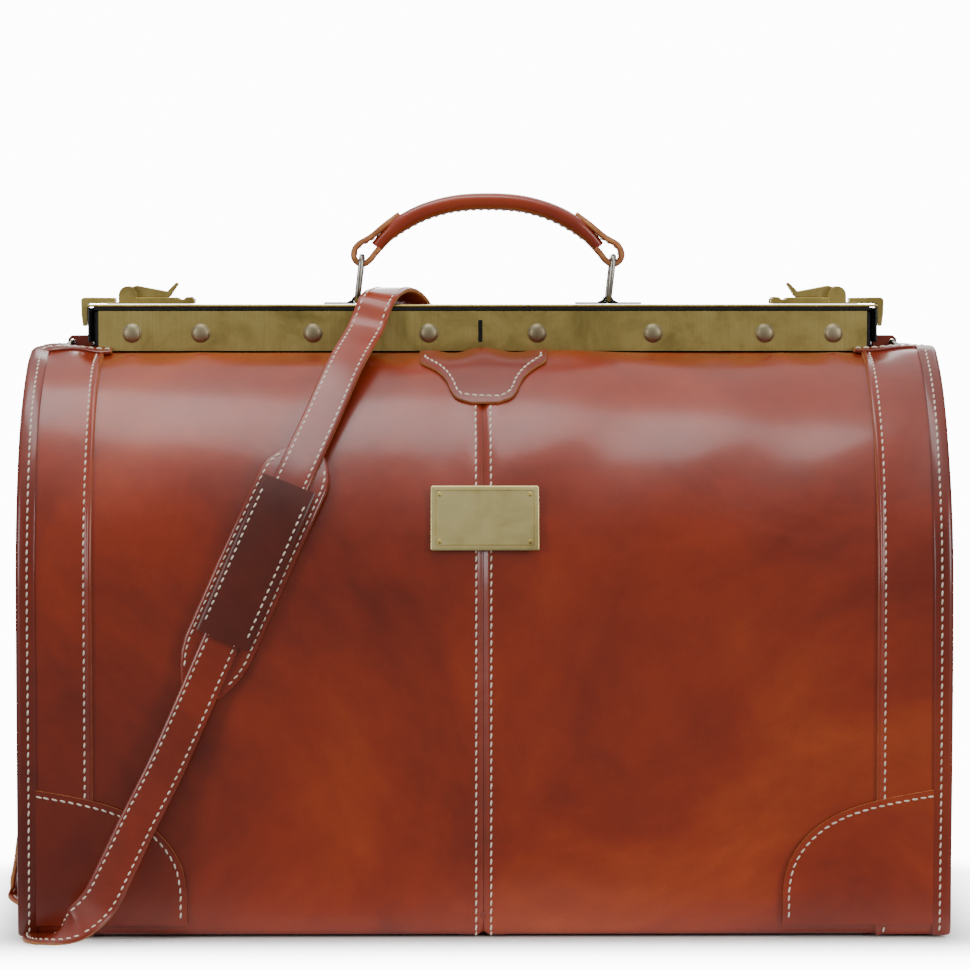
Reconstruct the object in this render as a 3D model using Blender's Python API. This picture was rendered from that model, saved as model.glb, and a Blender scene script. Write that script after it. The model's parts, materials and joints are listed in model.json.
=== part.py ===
"""Frame-mouth doctor bag: a leather body on a hinged pair of steel jaws, with latches, lock, handle and shoulder strap.

Metres, +Z up, front at -Y. The origin is the underside of the middle foot.
"""

from math import cos, pi, radians, sin

import bmesh
import bpy
from mathutils import Matrix, Vector

GAP = 0.0003  # clearance between touching pieces

# Leather body
END_X = 0.2475  # outer face of the end panels
LEATHER = 0.0022
BASE_Z = 0.0058  # outer face of the base
CORNER_R = 0.008  # rounding from the walls into the base
HINGE_Z = 0.245  # height of the jaw hinges, where the walls start to move
CREASE_X = 0.2225  # inner end of the folds in the end panels
FOLD_START_Z = 0.10
FOLD_DIP = 0.014  # how far the top edge of a fold dips towards its crease

# Wall profile in (y, z): control points of the shoulder and the belly
SHOULDER = ((-0.0235, 0.3116), (-0.0660, 0.3116), (-0.1260, 0.2640), (-0.1260, 0.1850))
BELLY = ((-0.1260, 0.1850), (-0.1260, 0.1200), (-0.1250, 0.0600), (-0.1215, BASE_Z + CORNER_R))

# Jaws
STRIP_X = 0.2125  # half length of the brass strips
STRIP_Z = (0.3120, 0.3340)
STRIP_Y = 0.0245  # outer face
STRIP_T = 0.0015
RAIL_T = 0.0015
RAIL_Y = (0.0006, 0.0227)
RAIL_Z = (0.3135, 0.3335)
COVER_Z = (0.3345, 0.3360)  # the rear rail's lip over the front rail
CAP_Z = (0.3363, 0.3375)
CAP_X = 0.2190
FRONT_ARM_X = (0.2120, 0.2142)
REAR_ARM_X = (0.2146, 0.2170)
BOSS_R = 0.007
PIN_R = 0.0020
PIN_HOLE_R = 0.0023

RIVET_X = (0.030, 0.094, 0.156, 0.194)
RIVET_Z = 0.3218
RIVET_R = 0.0052
SHANK_R = 0.0014
KEYHOLE_X = -0.0015

# End latches
LATCH_AXIS = (0.1975, 0.3428)  # |x| and z of the lever's axis

# Handle
RING_PITCH = 0.0700  # half the distance between the ring pivots
RING_AXIS_Z = 0.3394
RING_LENGTH = 0.0250
RING_LEAN = radians(6.5)
RING_HALF_WIDTH = 0.0116
WIRE_R = 0.0016
GRIP_TOP_Z = 0.3960  # middle line of the arch at its crown

# Strap
STRAP_WIDTH = 0.020
STRAP_T = 0.0026
TAB_RING_X = 0.2285
TAB_RING_Z = 0.3165
TAB_RING_TILT = radians(49)  # from vertical, outwards
TAB_RING_DROP = 0.0190

# Strap route from the left ring, under the front left corner, up over the jaws and round the back
# to the right ring: x, y, z of the middle line, then the direction that the grain side faces.
STRAP_ROUTE = (
    ((-0.2445, 0.0000, 0.2980), (1.0, 0.0, 0.2)),
    ((-0.2480, 0.0010, 0.2700), (1.0, 0.0, 0.1)),
    ((-0.2510, 0.0040, 0.2200), (1.0, 0.0, 0.0)),
    ((-0.2525, 0.0060, 0.1500), (1.0, 0.0, 0.0)),
    ((-0.2555, 0.0080, 0.0800), (1.0, 0.0, 0.0)),
    ((-0.2610, 0.0090, 0.0320), (1.0, 0.0, 0.0)),
    ((-0.2635, 0.0090, 0.0130), (1.0, 0.0, 0.3)),
    ((-0.2590, 0.0050, 0.0042), (0.2, 0.0, 1.0)),
    ((-0.2490, -0.0090, 0.0019), (0.0, 0.0, 1.0)),
    ((-0.2400, -0.0430, 0.0018), (0.0, 0.0, 1.0)),
    ((-0.2385, -0.0850, 0.0018), (0.0, 0.0, 1.0)),
    ((-0.2370, -0.1200, 0.0018), (0.0, 0.0, 1.0)),
    ((-0.2340, -0.1400, 0.0024), (0.0, 0.0, 1.0)),
    ((-0.2270, -0.1510, 0.0058), (0.0, -0.3, 1.0)),
    ((-0.2145, -0.1560, 0.0135), (0.0, -0.8, 0.6)),
    ((-0.2035, -0.1510, 0.0240), (0.0, -0.95, 0.3)),
    ((-0.1943, -0.1455, 0.0420), (0.0, -1.0, 0.2)),
    ((-0.1834, -0.1400, 0.0650), (0.0, -1.0, 0.15)),
    ((-0.1675, -0.1345, 0.0970), (0.0, -1.0, 0.1)),
    ((-0.1420, -0.1323, 0.1550), (0.0, -1.0, 0.0)),
    ((-0.1245, -0.1318, 0.1950), (0.0, -1.0, 0.08)),
    ((-0.1060, -0.1255, 0.2370), (0.0, -0.95, 0.3)),
    ((-0.0890, -0.1000, 0.2740), (0.0, -0.8, 0.6)),
    ((-0.0750, -0.0680, 0.3060), (0.0, -0.65, 0.75)),
    ((-0.0650, -0.0370, 0.3240), (0.0, -0.7, 0.7)),
    ((-0.0590, -0.0268, 0.3392), (0.0, -0.6, 0.8)),
    ((-0.0535, -0.0100, 0.3448), (0.0, -0.2, 1.0)),
    ((-0.0470, 0.0100, 0.3448), (0.0, 0.2, 1.0)),
    ((-0.0400, 0.0260, 0.3380), (0.0, 0.6, 0.8)),
    ((-0.0310, 0.0400, 0.3240), (0.0, 0.7, 0.7)),
    ((-0.0120, 0.0700, 0.3060), (0.0, 0.65, 0.75)),
    ((0.0150, 0.0990, 0.2760), (0.0, 0.8, 0.6)),
    ((0.0500, 0.1230, 0.2430), (0.0, 0.95, 0.3)),
    ((0.0950, 0.1310, 0.2170), (0.0, 1.0, 0.05)),
    ((0.1450, 0.1315, 0.2050), (0.0, 1.0, 0.0)),
    ((0.1950, 0.1315, 0.2080), (0.0, 1.0, 0.0)),
    ((0.2330, 0.1335, 0.2180), (0.2, 1.0, 0.0)),
    ((0.2585, 0.1215, 0.2290), (0.8, 0.6, 0.0)),
    ((0.2610, 0.0850, 0.2400), (1.0, 0.1, 0.0)),
    ((0.2575, 0.0470, 0.2480), (1.0, 0.0, 0.0)),
    ((0.2525, 0.0160, 0.2580), (1.0, 0.0, 0.0)),
    ((0.2475, 0.0020, 0.2750), (1.0, 0.0, 0.1)),
    ((0.2445, 0.0000, 0.2980), (1.0, 0.0, 0.2)),
)
PAD_SPAN = (0.1285, 0.2630)  # heights between which the pad lies along the strap
SLEEVE_SPAN = (0.1560, 0.2440)


# ---------------------------------------------------------------- helpers

MATERIALS = {}


def material(name, colour, roughness, metallic=0.0):
    """A plain Principled material, made once."""
    mat = bpy.data.materials.new(name)
    mat.use_nodes = True
    shader = mat.node_tree.nodes["Principled BSDF"]
    shader.inputs["Base Color"].default_value = (*colour, 1.0)
    shader.inputs["Roughness"].default_value = roughness
    shader.inputs["Metallic"].default_value = metallic
    mat.diffuse_color = (*colour, 1.0)
    MATERIALS[name] = mat


def add_mesh(name, bm, mat, smooth=None):
    """The bmesh as an object; smooth is the angle in degrees below which edges are shaded round."""
    bmesh.ops.recalc_face_normals(bm, faces=bm.faces)
    mesh = bpy.data.meshes.new(name)
    bm.to_mesh(mesh)
    bm.free()
    if smooth:
        mesh.shade_smooth()
        mesh.set_sharp_from_angle(angle=radians(smooth))
    mesh.materials.append(MATERIALS[mat])
    obj = bpy.data.objects.new(name, mesh)
    bpy.context.scene.collection.objects.link(obj)
    return obj


def loft(name, loops, mat, closed=False, smooth=None):
    """One closed solid through loops of points, capped at both ends unless the loops run in a ring."""
    bm = bmesh.new()
    rows = [[bm.verts.new(point) for point in loop] for loop in loops]
    pairs = list(zip(rows, rows[1:]))
    if closed:
        pairs.append((rows[-1], rows[0]))
    for low, high in pairs:
        for i in range(len(low)):
            j = (i + 1) % len(low)
            bm.faces.new((low[i], low[j], high[j], high[i]))
    if not closed:
        bm.faces.new(rows[0][::-1])
        bm.faces.new(rows[-1])
    return add_mesh(name, bm, mat, smooth)


def prism_x(name, outline, span, mat, smooth=None):
    """An outline in (y, z) carried along X."""
    return loft(name, [[(x, y, z) for y, z in outline] for x in span], mat, smooth=smooth)


def prism_y(name, outline, span, mat, smooth=None):
    """An outline in (x, z) carried along Y."""
    return loft(name, [[(x, y, z) for x, z in outline] for y in span], mat, smooth=smooth)


def box(name, low, high, mat):
    """A plain block between two corners."""
    outline = ((low[1], low[2]), (high[1], low[2]), (high[1], high[2]), (low[1], high[2]))
    return prism_x(name, outline, (low[0], high[0]), mat)


def turned(name, profile, origin, axis, mat, sides=16):
    """A turned solid: profile holds (radius, distance along the axis)."""
    spin = Vector((0, 0, 1)).rotation_difference(Vector(axis)).to_matrix()
    loops = []
    for radius, along in profile:
        ring = []
        for i in range(sides):
            angle = 2 * pi * i / sides
            ring.append(Vector(origin) + spin @ Vector((radius * cos(angle), radius * sin(angle), along)))
        loops.append(ring)
    return loft(name, loops, mat, smooth=40)


def tube(name, path, radius, mat, sides=8, closed=False):
    """Round wire along a path that lies in one plane parallel to Y."""
    count = len(path)
    loops = []
    for i, point in enumerate(path):
        before = path[i - 1] if i or closed else point
        after = path[(i + 1) % count] if i < count - 1 or closed else point
        along = (after - before).normalized()
        across = along.cross(PLANE_NORMAL[name]).normalized()
        loops.append([
            point + radius * (across * cos(2 * pi * k / sides) + PLANE_NORMAL[name] * sin(2 * pi * k / sides))
            for k in range(sides)
        ])
    return loft(name, loops, mat, closed=closed, smooth=60)


PLANE_NORMAL = {}


def combine(obj, other, operation):
    """Boolean of obj with a guide solid that isn't part of the model itself."""
    other.hide_render = True
    other.display_type = "WIRE"
    modifier = obj.modifiers.new(operation.title(), "BOOLEAN")
    modifier.operation = operation
    modifier.solver = "EXACT"
    modifier.object = other


def mirrored(outline, side):
    """The outline as it is for side -1, or with its first coordinate negated for side 1."""
    return [(-side * a, b) for a, b in outline]


def bezier(controls, count):
    """count + 1 points of a cubic curve."""
    p0, p1, p2, p3 = (Vector(p) for p in controls)
    points = []
    for i in range(count + 1):
        t = i / count
        s = 1 - t
        points.append(s * s * s * p0 + 3 * s * s * t * p1 + 3 * s * t * t * p2 + t * t * t * p3)
    return points


def smoothstep(t):
    t = min(1.0, max(0.0, t))
    return t * t * (3 - 2 * t)


def arc(centre, radius, start, end, count):
    """Points of a circular arc in a plane, from start to end degrees."""
    points = []
    for i in range(count + 1):
        angle = radians(start + (end - start) * i / count)
        points.append((centre[0] + radius * cos(angle), centre[1] + radius * sin(angle)))
    return points


# ---------------------------------------------------------------- leather walls


def wall_outline():
    """The front wall's outer face in (y, z), from the jaw down to the middle of the base."""
    shoulder = bezier(SHOULDER, 14)
    belly = bezier(BELLY, 6)[1:]
    foot_y = BELLY[-1][0] + CORNER_R
    corner = [Vector(p) for p in arc((foot_y, BASE_Z + CORNER_R), CORNER_R, 180, 270, 4)[1:]]
    return shoulder + belly + corner


WALL = wall_outline()


def wall_y(z):
    """y of the front wall's outer face at a height."""
    for upper, lower in zip(WALL, WALL[1:]):
        if lower.y <= z <= upper.y and upper.y > lower.y:
            share = (z - lower.y) / (upper.y - lower.y)
            return lower.x + share * (upper.x - lower.x)
    return WALL[0].x if z > WALL[0].y else WALL[-1].x


def wall_between(top, bottom):
    """The stretch of the front wall's outline between two heights."""
    inside = [point for point in WALL if bottom + 1e-4 < point.y < top - 1e-4]
    return [Vector((wall_y(top), top))] + inside + [Vector((wall_y(bottom), bottom))]


def inward(path, distance):
    """A (y, z) path moved towards the bag's inside, which is on the left hand going down the front."""
    moved = []
    for i, point in enumerate(path):
        along = (path[min(i + 1, len(path) - 1)] - path[max(i - 1, 0)]).normalized()
        moved.append(point + distance * Vector((-along.y, along.x)))
    return moved


def shell_outline(path, outer, thickness):
    """A closed outline around a path, from outer to outer + thickness inside it."""
    return inward(path, outer) + inward(path, outer + thickness)[::-1]


def fold_x(share, z):
    """|x| of an end's outer face, share being y as a part of the half depth there."""
    depth = (END_X - CREASE_X) * smoothstep((z - FOLD_START_Z) / (HINGE_Z - FOLD_START_Z))
    return END_X - depth * max(0.0, 1 - abs(share) / 0.85)


def solidified(name, rows, thickness, mat, offset):
    """A grid of points as a sheet with thickness on the side that offset gives."""
    bm = bmesh.new()
    grid = [[bm.verts.new(point) for point in row] for row in rows]
    for low, high in zip(grid, grid[1:]):
        for i in range(len(low) - 1):
            bm.faces.new((low[i], low[i + 1], high[i + 1], high[i]))
    obj = add_mesh(name, bm, mat, smooth=50)
    modifier = obj.modifiers.new("Thickness", "SOLIDIFY")
    modifier.thickness = thickness
    modifier.offset = offset
    modifier.use_even_offset = True
    return obj


def lower_walls():
    """The front's two panels, the back panel, the base, and the lining and stiffener inside them."""
    path = wall_between(HINGE_Z - GAP, BASE_Z + CORNER_R + GAP)
    front = shell_outline(path, 0.0, LEATHER)
    inner_x = END_X - LEATHER - GAP
    prism_x("lower_front_left", front, (-inner_x, -GAP), "leather", 40)
    prism_x("lower_front_right", front, (GAP, inner_x), "leather", 40)
    prism_x("lower_rear", mirrored(front, 1), (-inner_x, inner_x), "leather", 40)
    half = wall_between(BASE_Z + CORNER_R - GAP, BASE_Z + 1e-5)
    base = half + [Vector((-p.x, p.y)) for p in half[::-1]]
    prism_x("base_panel", shell_outline(base, 0.0, LEATHER), (-inner_x, inner_x), "leather", 40)
    side = wall_between(HINGE_Z - GAP, BASE_Z + 1e-5)
    whole = side + [Vector((-p.x, p.y)) for p in side[::-1]]
    lining = shell_outline(whole, LEATHER + GAP, 0.0008)
    prism_x("lining", lining, (-inner_x + GAP, inner_x - GAP), "lining", 40)
    floor = BASE_Z + LEATHER + 0.0008 + 2 * GAP
    box("base_board", (-0.228, -0.104, floor), (0.228, 0.104, floor + 0.003), "board")


def end_panel(name, side):
    """The lower part of an end, folded inwards towards the hinge pin."""
    corner = [BASE_Z + CORNER_R * rise for rise in (0.03, 0.15, 0.5, 1.0)]
    heights = corner + [0.06, 0.10, 0.14, 0.17, 0.20, 0.225, HINGE_Z - 0.0016]
    shares = (-1.0, -0.85, -0.6, -0.3, 0.0, 0.3, 0.6, 0.85, 1.0)
    rows = []
    for z in heights:
        half = -wall_y(z)
        rows.append([(side * fold_x(share, z), share * half, z) for share in shares])
    solidified(name, rows, LEATHER, "leather", -1.0)


def upper_half(name, facing):
    """The leather between the hinge line and one jaw, with its share of both end folds."""
    path = wall_between(WALL[0].y - GAP, HINGE_Z + GAP)
    rows = []
    for point in path:
        y = facing * -point.x
        dip = FOLD_DIP * (point.y - HINGE_Z) / (WALL[0].y - HINGE_Z)
        shares = (0.02, 0.3, 0.6, 0.85, 1.0)
        end = [(fold_x(share, point.y), share * y, point.y - dip * (1 - share)) for share in shares]
        left = [(-x, y_end, z) for x, y_end, z in end]
        rows.append(left + end[::-1])
    solidified(name, rows, LEATHER, "leather", -1.0)


def binding(name, side):
    """The folded strip over an end's seam, an angle section that follows the walls' outline."""
    half = wall_between(HINGE_Z - GAP, BASE_Z + 1e-5)
    under = [Vector((half[-1].x * share, BASE_Z)) for share in (0.75, 0.5, 0.25, 0.0, -0.25, -0.5, -0.75)]
    path = half + under + [Vector((-p.x, p.y)) for p in half[::-1]]
    outer_x = END_X + GAP + 0.0014
    section = (
        (0.2410, -0.0015),
        (outer_x, -0.0015),
        (outer_x, 0.0070),
        (END_X + GAP, 0.0070),
        (END_X + GAP, -GAP),
        (0.2410, -GAP),
    )
    rails = [inward(path, depth) for _, depth in section]
    loops = []
    for i in range(len(path)):
        loops.append([(side * section[k][0], rails[k][i].x, rails[k][i].y) for k in range(len(section))])
    loft(name, loops, "leather", smooth=40)


def corner_patch(name, side, facing):
    """A rounded reinforcing patch over a lower corner of the front or back."""
    across, up = 0.0815, 0.0790
    outer = 0.2405
    low = BASE_Z + CORNER_R
    corner = [(outer - across, low)]
    for i in range(9):
        angle = radians(90 * i / 8)
        x = outer - across + 0.052 * (1 - cos(angle))
        z = low + 0.020 + 0.048 * sin(angle)
        corner.append((x, z))
    corner.append((outer, low - 0.013 + up))
    corner.append((outer, low))
    loops = []
    for offset in (0.0005, 0.0018):
        loops.append([(side * x, facing * (-wall_y(z) + offset), z) for x, z in corner])
    loft(name, loops, "leather_dark", smooth=30)


def centre_patch():
    """The tongue-shaped patch that hangs from the front jaw over the centre seam."""
    half = [(0.0345, 0.3110), (0.0345, 0.3104), (0.0345, 0.3092), (0.0343, 0.3075), (0.0335, 0.3050)]
    half += [(0.0240, 0.2995), (0.0185, 0.2930), (0.0145, 0.2865), (0.0070, 0.2840)]
    outline = half + [(-x, z) for x, z in half[::-1]]
    bm = bmesh.new()
    layers = []
    for offset in (0.0010, 0.0026):
        layer = []
        for x, z in outline:
            y = wall_y(z)
            normal = Vector((wall_y(z + 0.004) - y, 0.004)).normalized()
            layer.append(bm.verts.new((x, y - offset * normal.y, z + offset * normal.x)))
        layers.append(layer)
    count = len(half)
    for layer in layers:
        for i in range(count - 1):
            j = 2 * count - 1 - i
            bm.faces.new((layer[i], layer[i + 1], layer[j - 1], layer[j]))
    for i in range(2 * count):
        j = (i + 1) % (2 * count)
        bm.faces.new((layers[0][i], layers[0][j], layers[1][j], layers[1][i]))
    add_mesh("centre_patch", bm, "leather_dark")


# ---------------------------------------------------------------- jaws


def arm_outline(facing):
    """A jaw's end arm in (y, z), from the rail down to the boss at the hinge."""
    inner, outer = RAIL_Y
    low, high = RAIL_Z
    boss = arc((0.0, HINGE_Z), BOSS_R, 200, 380, 10)
    outline = [(-inner, high), (-outer, high), (-outer, low), (-0.013, low - 0.012)] + boss + [(-inner, low - 0.03)]
    return mirrored(outline, 1 if facing > 0 else -1)


def jaw_rail(name, section, half_length, arm_x, facing):
    """A pressed rail with an arm at each end, drilled for the hinge pins."""
    rail = prism_x(name, section, (-half_length, half_length), "steel_black")
    for side in (-1, 1):
        span = (side * arm_x[0], side * arm_x[1])
        combine(rail, prism_x(f"{name}_arm_{side}", arm_outline(facing), span, "steel_black"), "UNION")
        hole = turned(
            f"{name}_hole_{side}",
            ((PIN_HOLE_R, -0.006), (PIN_HOLE_R, 0.006)),
            (side * 0.2145, 0.0, HINGE_Z),
            (1, 0, 0),
            "steel_black",
        )
        combine(rail, hole, "DIFFERENCE")
    return rail


def rails():
    """The front rail, a channel open backwards, and the rear rail, whose lip covers both."""
    inner, outer = RAIL_Y
    low, high = RAIL_Z
    web = outer - RAIL_T
    front = [
        (-inner, low), (-outer, low), (-outer, high), (-inner, high),
        (-inner, high - RAIL_T), (-web, high - RAIL_T), (-web, low + RAIL_T), (-inner, low + RAIL_T),
    ]
    rear = [
        (inner, low), (outer, low), (outer, COVER_Z[1]), (-outer - 0.0008, COVER_Z[1]),
        (-outer - 0.0008, COVER_Z[0]), (web, COVER_Z[0]), (web, low + RAIL_T), (inner, low + RAIL_T),
    ]
    front_rail = jaw_rail("front_rail", front, STRIP_X, FRONT_ARM_X, -1)
    jaw_rail("rear_rail", rear, 0.2150, REAR_ARM_X, 1)
    return front_rail


def strip_outline():
    """A brass strip's face in (x, z), with rounded lower corners."""
    low, high = STRIP_Z
    r = 0.0026
    left = arc((-STRIP_X + r, low + r), r, 180, 270, 4)
    right = arc((STRIP_X - r, low + r), r, 270, 360, 4)
    return [(-STRIP_X, high)] + left + right + [(STRIP_X, high)]


def jaw_strips(front_rail):
    """The brass face strips, the rivets through the front one, the keyhole and the top cap."""
    outline = strip_outline()
    front = prism_y("front_strip", outline, (-STRIP_Y, -STRIP_Y + STRIP_T), "brass")
    prism_y("rear_strip", outline, (STRIP_Y - STRIP_T, STRIP_Y), "brass")
    places = sorted([-x for x in RIVET_X] + list(RIVET_X))
    for number, x in enumerate(places, 1):
        face = -STRIP_Y - GAP
        profile = ((SHANK_R, -0.0045), (SHANK_R, 0.0), (RIVET_R, 0.0), (RIVET_R, 0.0007))
        dome = ((0.86 * RIVET_R, 0.0017), (0.5 * RIVET_R, 0.0025), (0.15 * RIVET_R, 0.0027))
        turned(f"front_rivet_{number}", profile + dome, (x, face, RIVET_Z), (0, -1, 0), "brass_dark", 14)
        hole = turned(
            f"rivet_hole_{number}",
            ((SHANK_R + GAP, -0.002), (SHANK_R + GAP, 0.006)),
            (x, -STRIP_Y, RIVET_Z),
            (0, 1, 0),
            "brass",
            10,
        )
        combine(front, hole, "DIFFERENCE")
        combine(front_rail, hole, "DIFFERENCE")
    keyhole = box(
        "keyhole",
        (KEYHOLE_X - 0.0012, -STRIP_Y - 0.002, 0.3168),
        (KEYHOLE_X + 0.0012, -STRIP_Y + 0.0036, 0.3290),
        "brass",
    )
    combine(front, keyhole, "DIFFERENCE")
    combine(front_rail, keyhole, "DIFFERENCE")
    cap = box("top_cap", (-CAP_X, -0.0238, CAP_Z[0]), (CAP_X, 0.0240, CAP_Z[1]), "brass")
    bevel = cap.modifiers.new("Edge", "BEVEL")
    bevel.width = 0.0004
    bevel.segments = 1


def lock():
    """The lock case inside the front rail, open at one end, and its sliding bolt."""
    case = box("lock_case", (-0.022, -0.0209, 0.3153), (0.020, -0.0085, 0.3317), "steel_black")
    channel = box("lock_channel", (-0.012, -0.0170, 0.3200), (0.030, -0.0120, 0.3270), "steel_black")
    combine(case, channel, "DIFFERENCE")
    box("lock_bolt", (-0.0070, -0.0167, 0.3203), (0.0230, -0.0123, 0.3267), "steel")


def hinge_pin(name, side):
    """A headed pin through both jaws' arms."""
    profile = (
        (0.0036, 0.2095), (0.0036, 0.2115), (PIN_R, 0.2115),
        (PIN_R, 0.2175), (0.0036, 0.2175), (0.0036, 0.2190),
    )
    turned(name, profile, (0.0, 0.0, HINGE_Z), (side, 0, 0), "steel")


# ---------------------------------------------------------------- latches


def latch(label, side):
    """Base, lever and hook of the latch at one end."""
    axis_x, axis_z = LATCH_AXIS
    floor = CAP_Z[1] + GAP
    base = [
        (0.1623, floor), (0.2090, floor), (0.2090, floor + 0.0010), (0.1925, floor + 0.0010),
        (0.1925, 0.3404), (0.1765, 0.3404), (0.1752, 0.3412), (0.1740, 0.3404), (0.1735, 0.3394),
        (0.1668, 0.3394), (0.1655, 0.3406), (0.1637, 0.3408), (0.1623, 0.3398),
    ]
    plate = prism_y(f"latch_base_{label}", mirrored(base, -side), (-0.0088, 0.0088), "brass")
    ear = [(axis_x - 0.0050, floor + 0.0002)] + arc((axis_x, axis_z), 0.0050, 180, 0, 10)
    ear.append((axis_x + 0.0050, floor + 0.0002))
    for number, y in enumerate((-0.0088, 0.0058)):
        combine(plate, prism_y(f"ear_{label}_{number}", mirrored(ear, -side), (y, y + 0.0030), "brass"), "UNION")
    lever = [
        (0.1960, 0.3460), (0.1925, 0.3468), (0.1775, 0.3436), (0.1748, 0.3440), (0.1712, 0.3484),
        (0.1698, 0.3474), (0.1738, 0.3420), (0.1765, 0.3409), (0.1930, 0.3419),
    ]
    barrel = arc((axis_x, axis_z), 0.0036, -135, 110, 10)
    prism_y(f"latch_lever_{label}", mirrored(lever + barrel, -side), (-0.0052, 0.0052), "brass", 50)
    hook = [
        (0.2035, 0.3392), (0.2199, 0.3392), (0.2199, 0.3272), (0.2206, 0.3252),
        (0.2224, 0.3252), (0.2232, 0.3310), (0.2232, 0.3398), (0.2220, 0.3409), (0.2035, 0.3409),
    ]
    prism_y(f"latch_hook_{label}", mirrored(hook, -side), (-0.0070, 0.0070), "brass", 30)


# ---------------------------------------------------------------- handle


def ring_path(top_bar, down, half_width, length):
    """A rectangular wire loop with rounded corners: a bar along Y at top_bar, and its far bar along down."""
    r = 0.0035
    corners = ((-half_width, 0), (half_width, 0), (half_width, length), (-half_width, length))
    centres = []
    for index, (y, d) in enumerate(corners):
        centres.append((y - r if y > 0 else y + r, d + r if d == 0 else d - r, -180 + 90 * index))
    path = []
    for y, d, start in centres:
        for point in arc((y, d), r, start, start + 90, 3):
            path.append(Vector(top_bar) + Vector((0, point[0], 0)) + Vector(down) * point[1])
    return path


def wire_loop(name, top_bar, down, half_width, length):
    """One closed wire loop in the plane of Y and the direction down."""
    PLANE_NORMAL[name] = Vector((0, 1, 0)).cross(Vector(down)).normalized()
    tube(name, ring_path(top_bar, down, half_width, length), WIRE_R, "wire", closed=True)


def handle_plate(label, x):
    """A ring's plate on the top cap, with the saddle that the ring's lower bar turns in."""
    floor = CAP_Z[1] + GAP
    plate = box(f"handle_plate_{label}", (x - 0.0183, -0.0092, floor), (x + 0.0183, 0.0092, floor + 0.0010), "wire")
    hump = [(x - 0.0075, floor + 0.0002)] + arc((x, RING_AXIS_Z), 0.0031, 165, 15, 8) + [(x + 0.0075, floor + 0.0002)]
    combine(plate, prism_y(f"saddle_{label}", hump, (-0.0070, 0.0070), "wire"), "UNION")
    bore = turned(
        f"saddle_bore_{label}",
        ((WIRE_R + 0.0003, -0.012), (WIRE_R + 0.0003, 0.012)),
        (x, 0.0, RING_AXIS_Z),
        (0, 1, 0),
        "wire",
        12,
    )
    combine(plate, bore, "DIFFERENCE")


def handle():
    """Plates, rings and the arched leather grip with a loop around each ring."""
    up = Vector((sin(RING_LEAN), 0, cos(RING_LEAN)))
    tops = []
    for label, side in (("left", -1), ("right", 1)):
        x = side * RING_PITCH
        handle_plate(label, x)
        foot = Vector((x, 0, RING_AXIS_Z))
        wire_loop(f"handle_ring_{label}", foot, up, RING_HALF_WIDTH, RING_LENGTH)
        tops.append(foot + up * RING_LENGTH)
    crown = (tops[0] + tops[1]) / 2
    rise = GRIP_TOP_Z - crown.z
    reach = RING_PITCH - 0.0045
    loops = []
    for i in range(25):
        share = -1 + 2 * i / 24
        x = crown.x + reach * share
        z = crown.z + 0.0035 + (rise - 0.0035) * (1 - abs(share) ** 2.2)
        slope = -(rise - 0.0035) * 2.2 * abs(share) ** 1.2 * (1 if share > 0 else -1) / reach
        normal = Vector((-slope, 0, 1)).normalized()
        width = 0.0105 - 0.0035 * abs(share) ** 6
        thick = 0.0040 - 0.0008 * abs(share) ** 4
        loops.append([
            Vector((x, width * cos(2 * pi * k / 10), z)) + normal * thick * sin(2 * pi * k / 10)
            for k in range(10)
        ])
    grip = loft("handle_grip", loops, "leather_dark", smooth=60)
    for number, top in enumerate(tops):
        eye = turned(f"grip_eye_{number}", ((0.0058, -0.0075), (0.0058, 0.0075)), top, (0, 1, 0), "leather_dark")
        combine(grip, eye, "UNION")
    for number, top in enumerate(tops):
        profile = ((WIRE_R + 0.0006, -0.014), (WIRE_R + 0.0006, 0.014))
        combine(grip, turned(f"grip_bore_{number}", profile, top, (0, 1, 0), "leather_dark", 12), "DIFFERENCE")


# ---------------------------------------------------------------- strap


def strap_samples(steps):
    """Middle line and grain direction of the strap, smoothly between the points of its route."""
    points = [Vector(place) for place, _ in STRAP_ROUTE]
    faces = [Vector(face).normalized() for _, face in STRAP_ROUTE]
    samples = []
    last = len(points) - 1
    for i in range(last):
        before = points[max(i - 1, 0)]
        after = points[min(i + 2, last)]
        a, b = points[i], points[i + 1]
        for k in range(steps):
            t = k / steps
            place = 0.5 * (
                2 * a + (b - before) * t + (2 * before - 5 * a + 4 * b - after) * t * t
                + (3 * a - before - 3 * b + after) * t * t * t
            )
            samples.append((place, faces[i].lerp(faces[i + 1], t)))
    samples.append((points[-1], faces[-1]))
    return samples


def strap_frames(samples):
    """For each sample its place, the direction across the strap and the direction out of its grain side."""
    frames = []
    for i, (place, face) in enumerate(samples):
        along = (samples[min(i + 1, len(samples) - 1)][0] - samples[max(i - 1, 0)][0]).normalized()
        across = along.cross(face).normalized()
        frames.append((place, across, across.cross(along).normalized()))
    return frames


def ribbon(name, frames, width, low, high, mat):
    """A flat band along the frames, from low to high on its grain side; width gives its half width at each."""
    loops = []
    for i, (place, across, out) in enumerate(frames):
        half = width(i / (len(frames) - 1))
        loops.append([
            place + across * half + out * low,
            place + across * half + out * high,
            place - across * half + out * high,
            place - across * half + out * low,
        ])
    loft(name, loops, mat)


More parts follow.
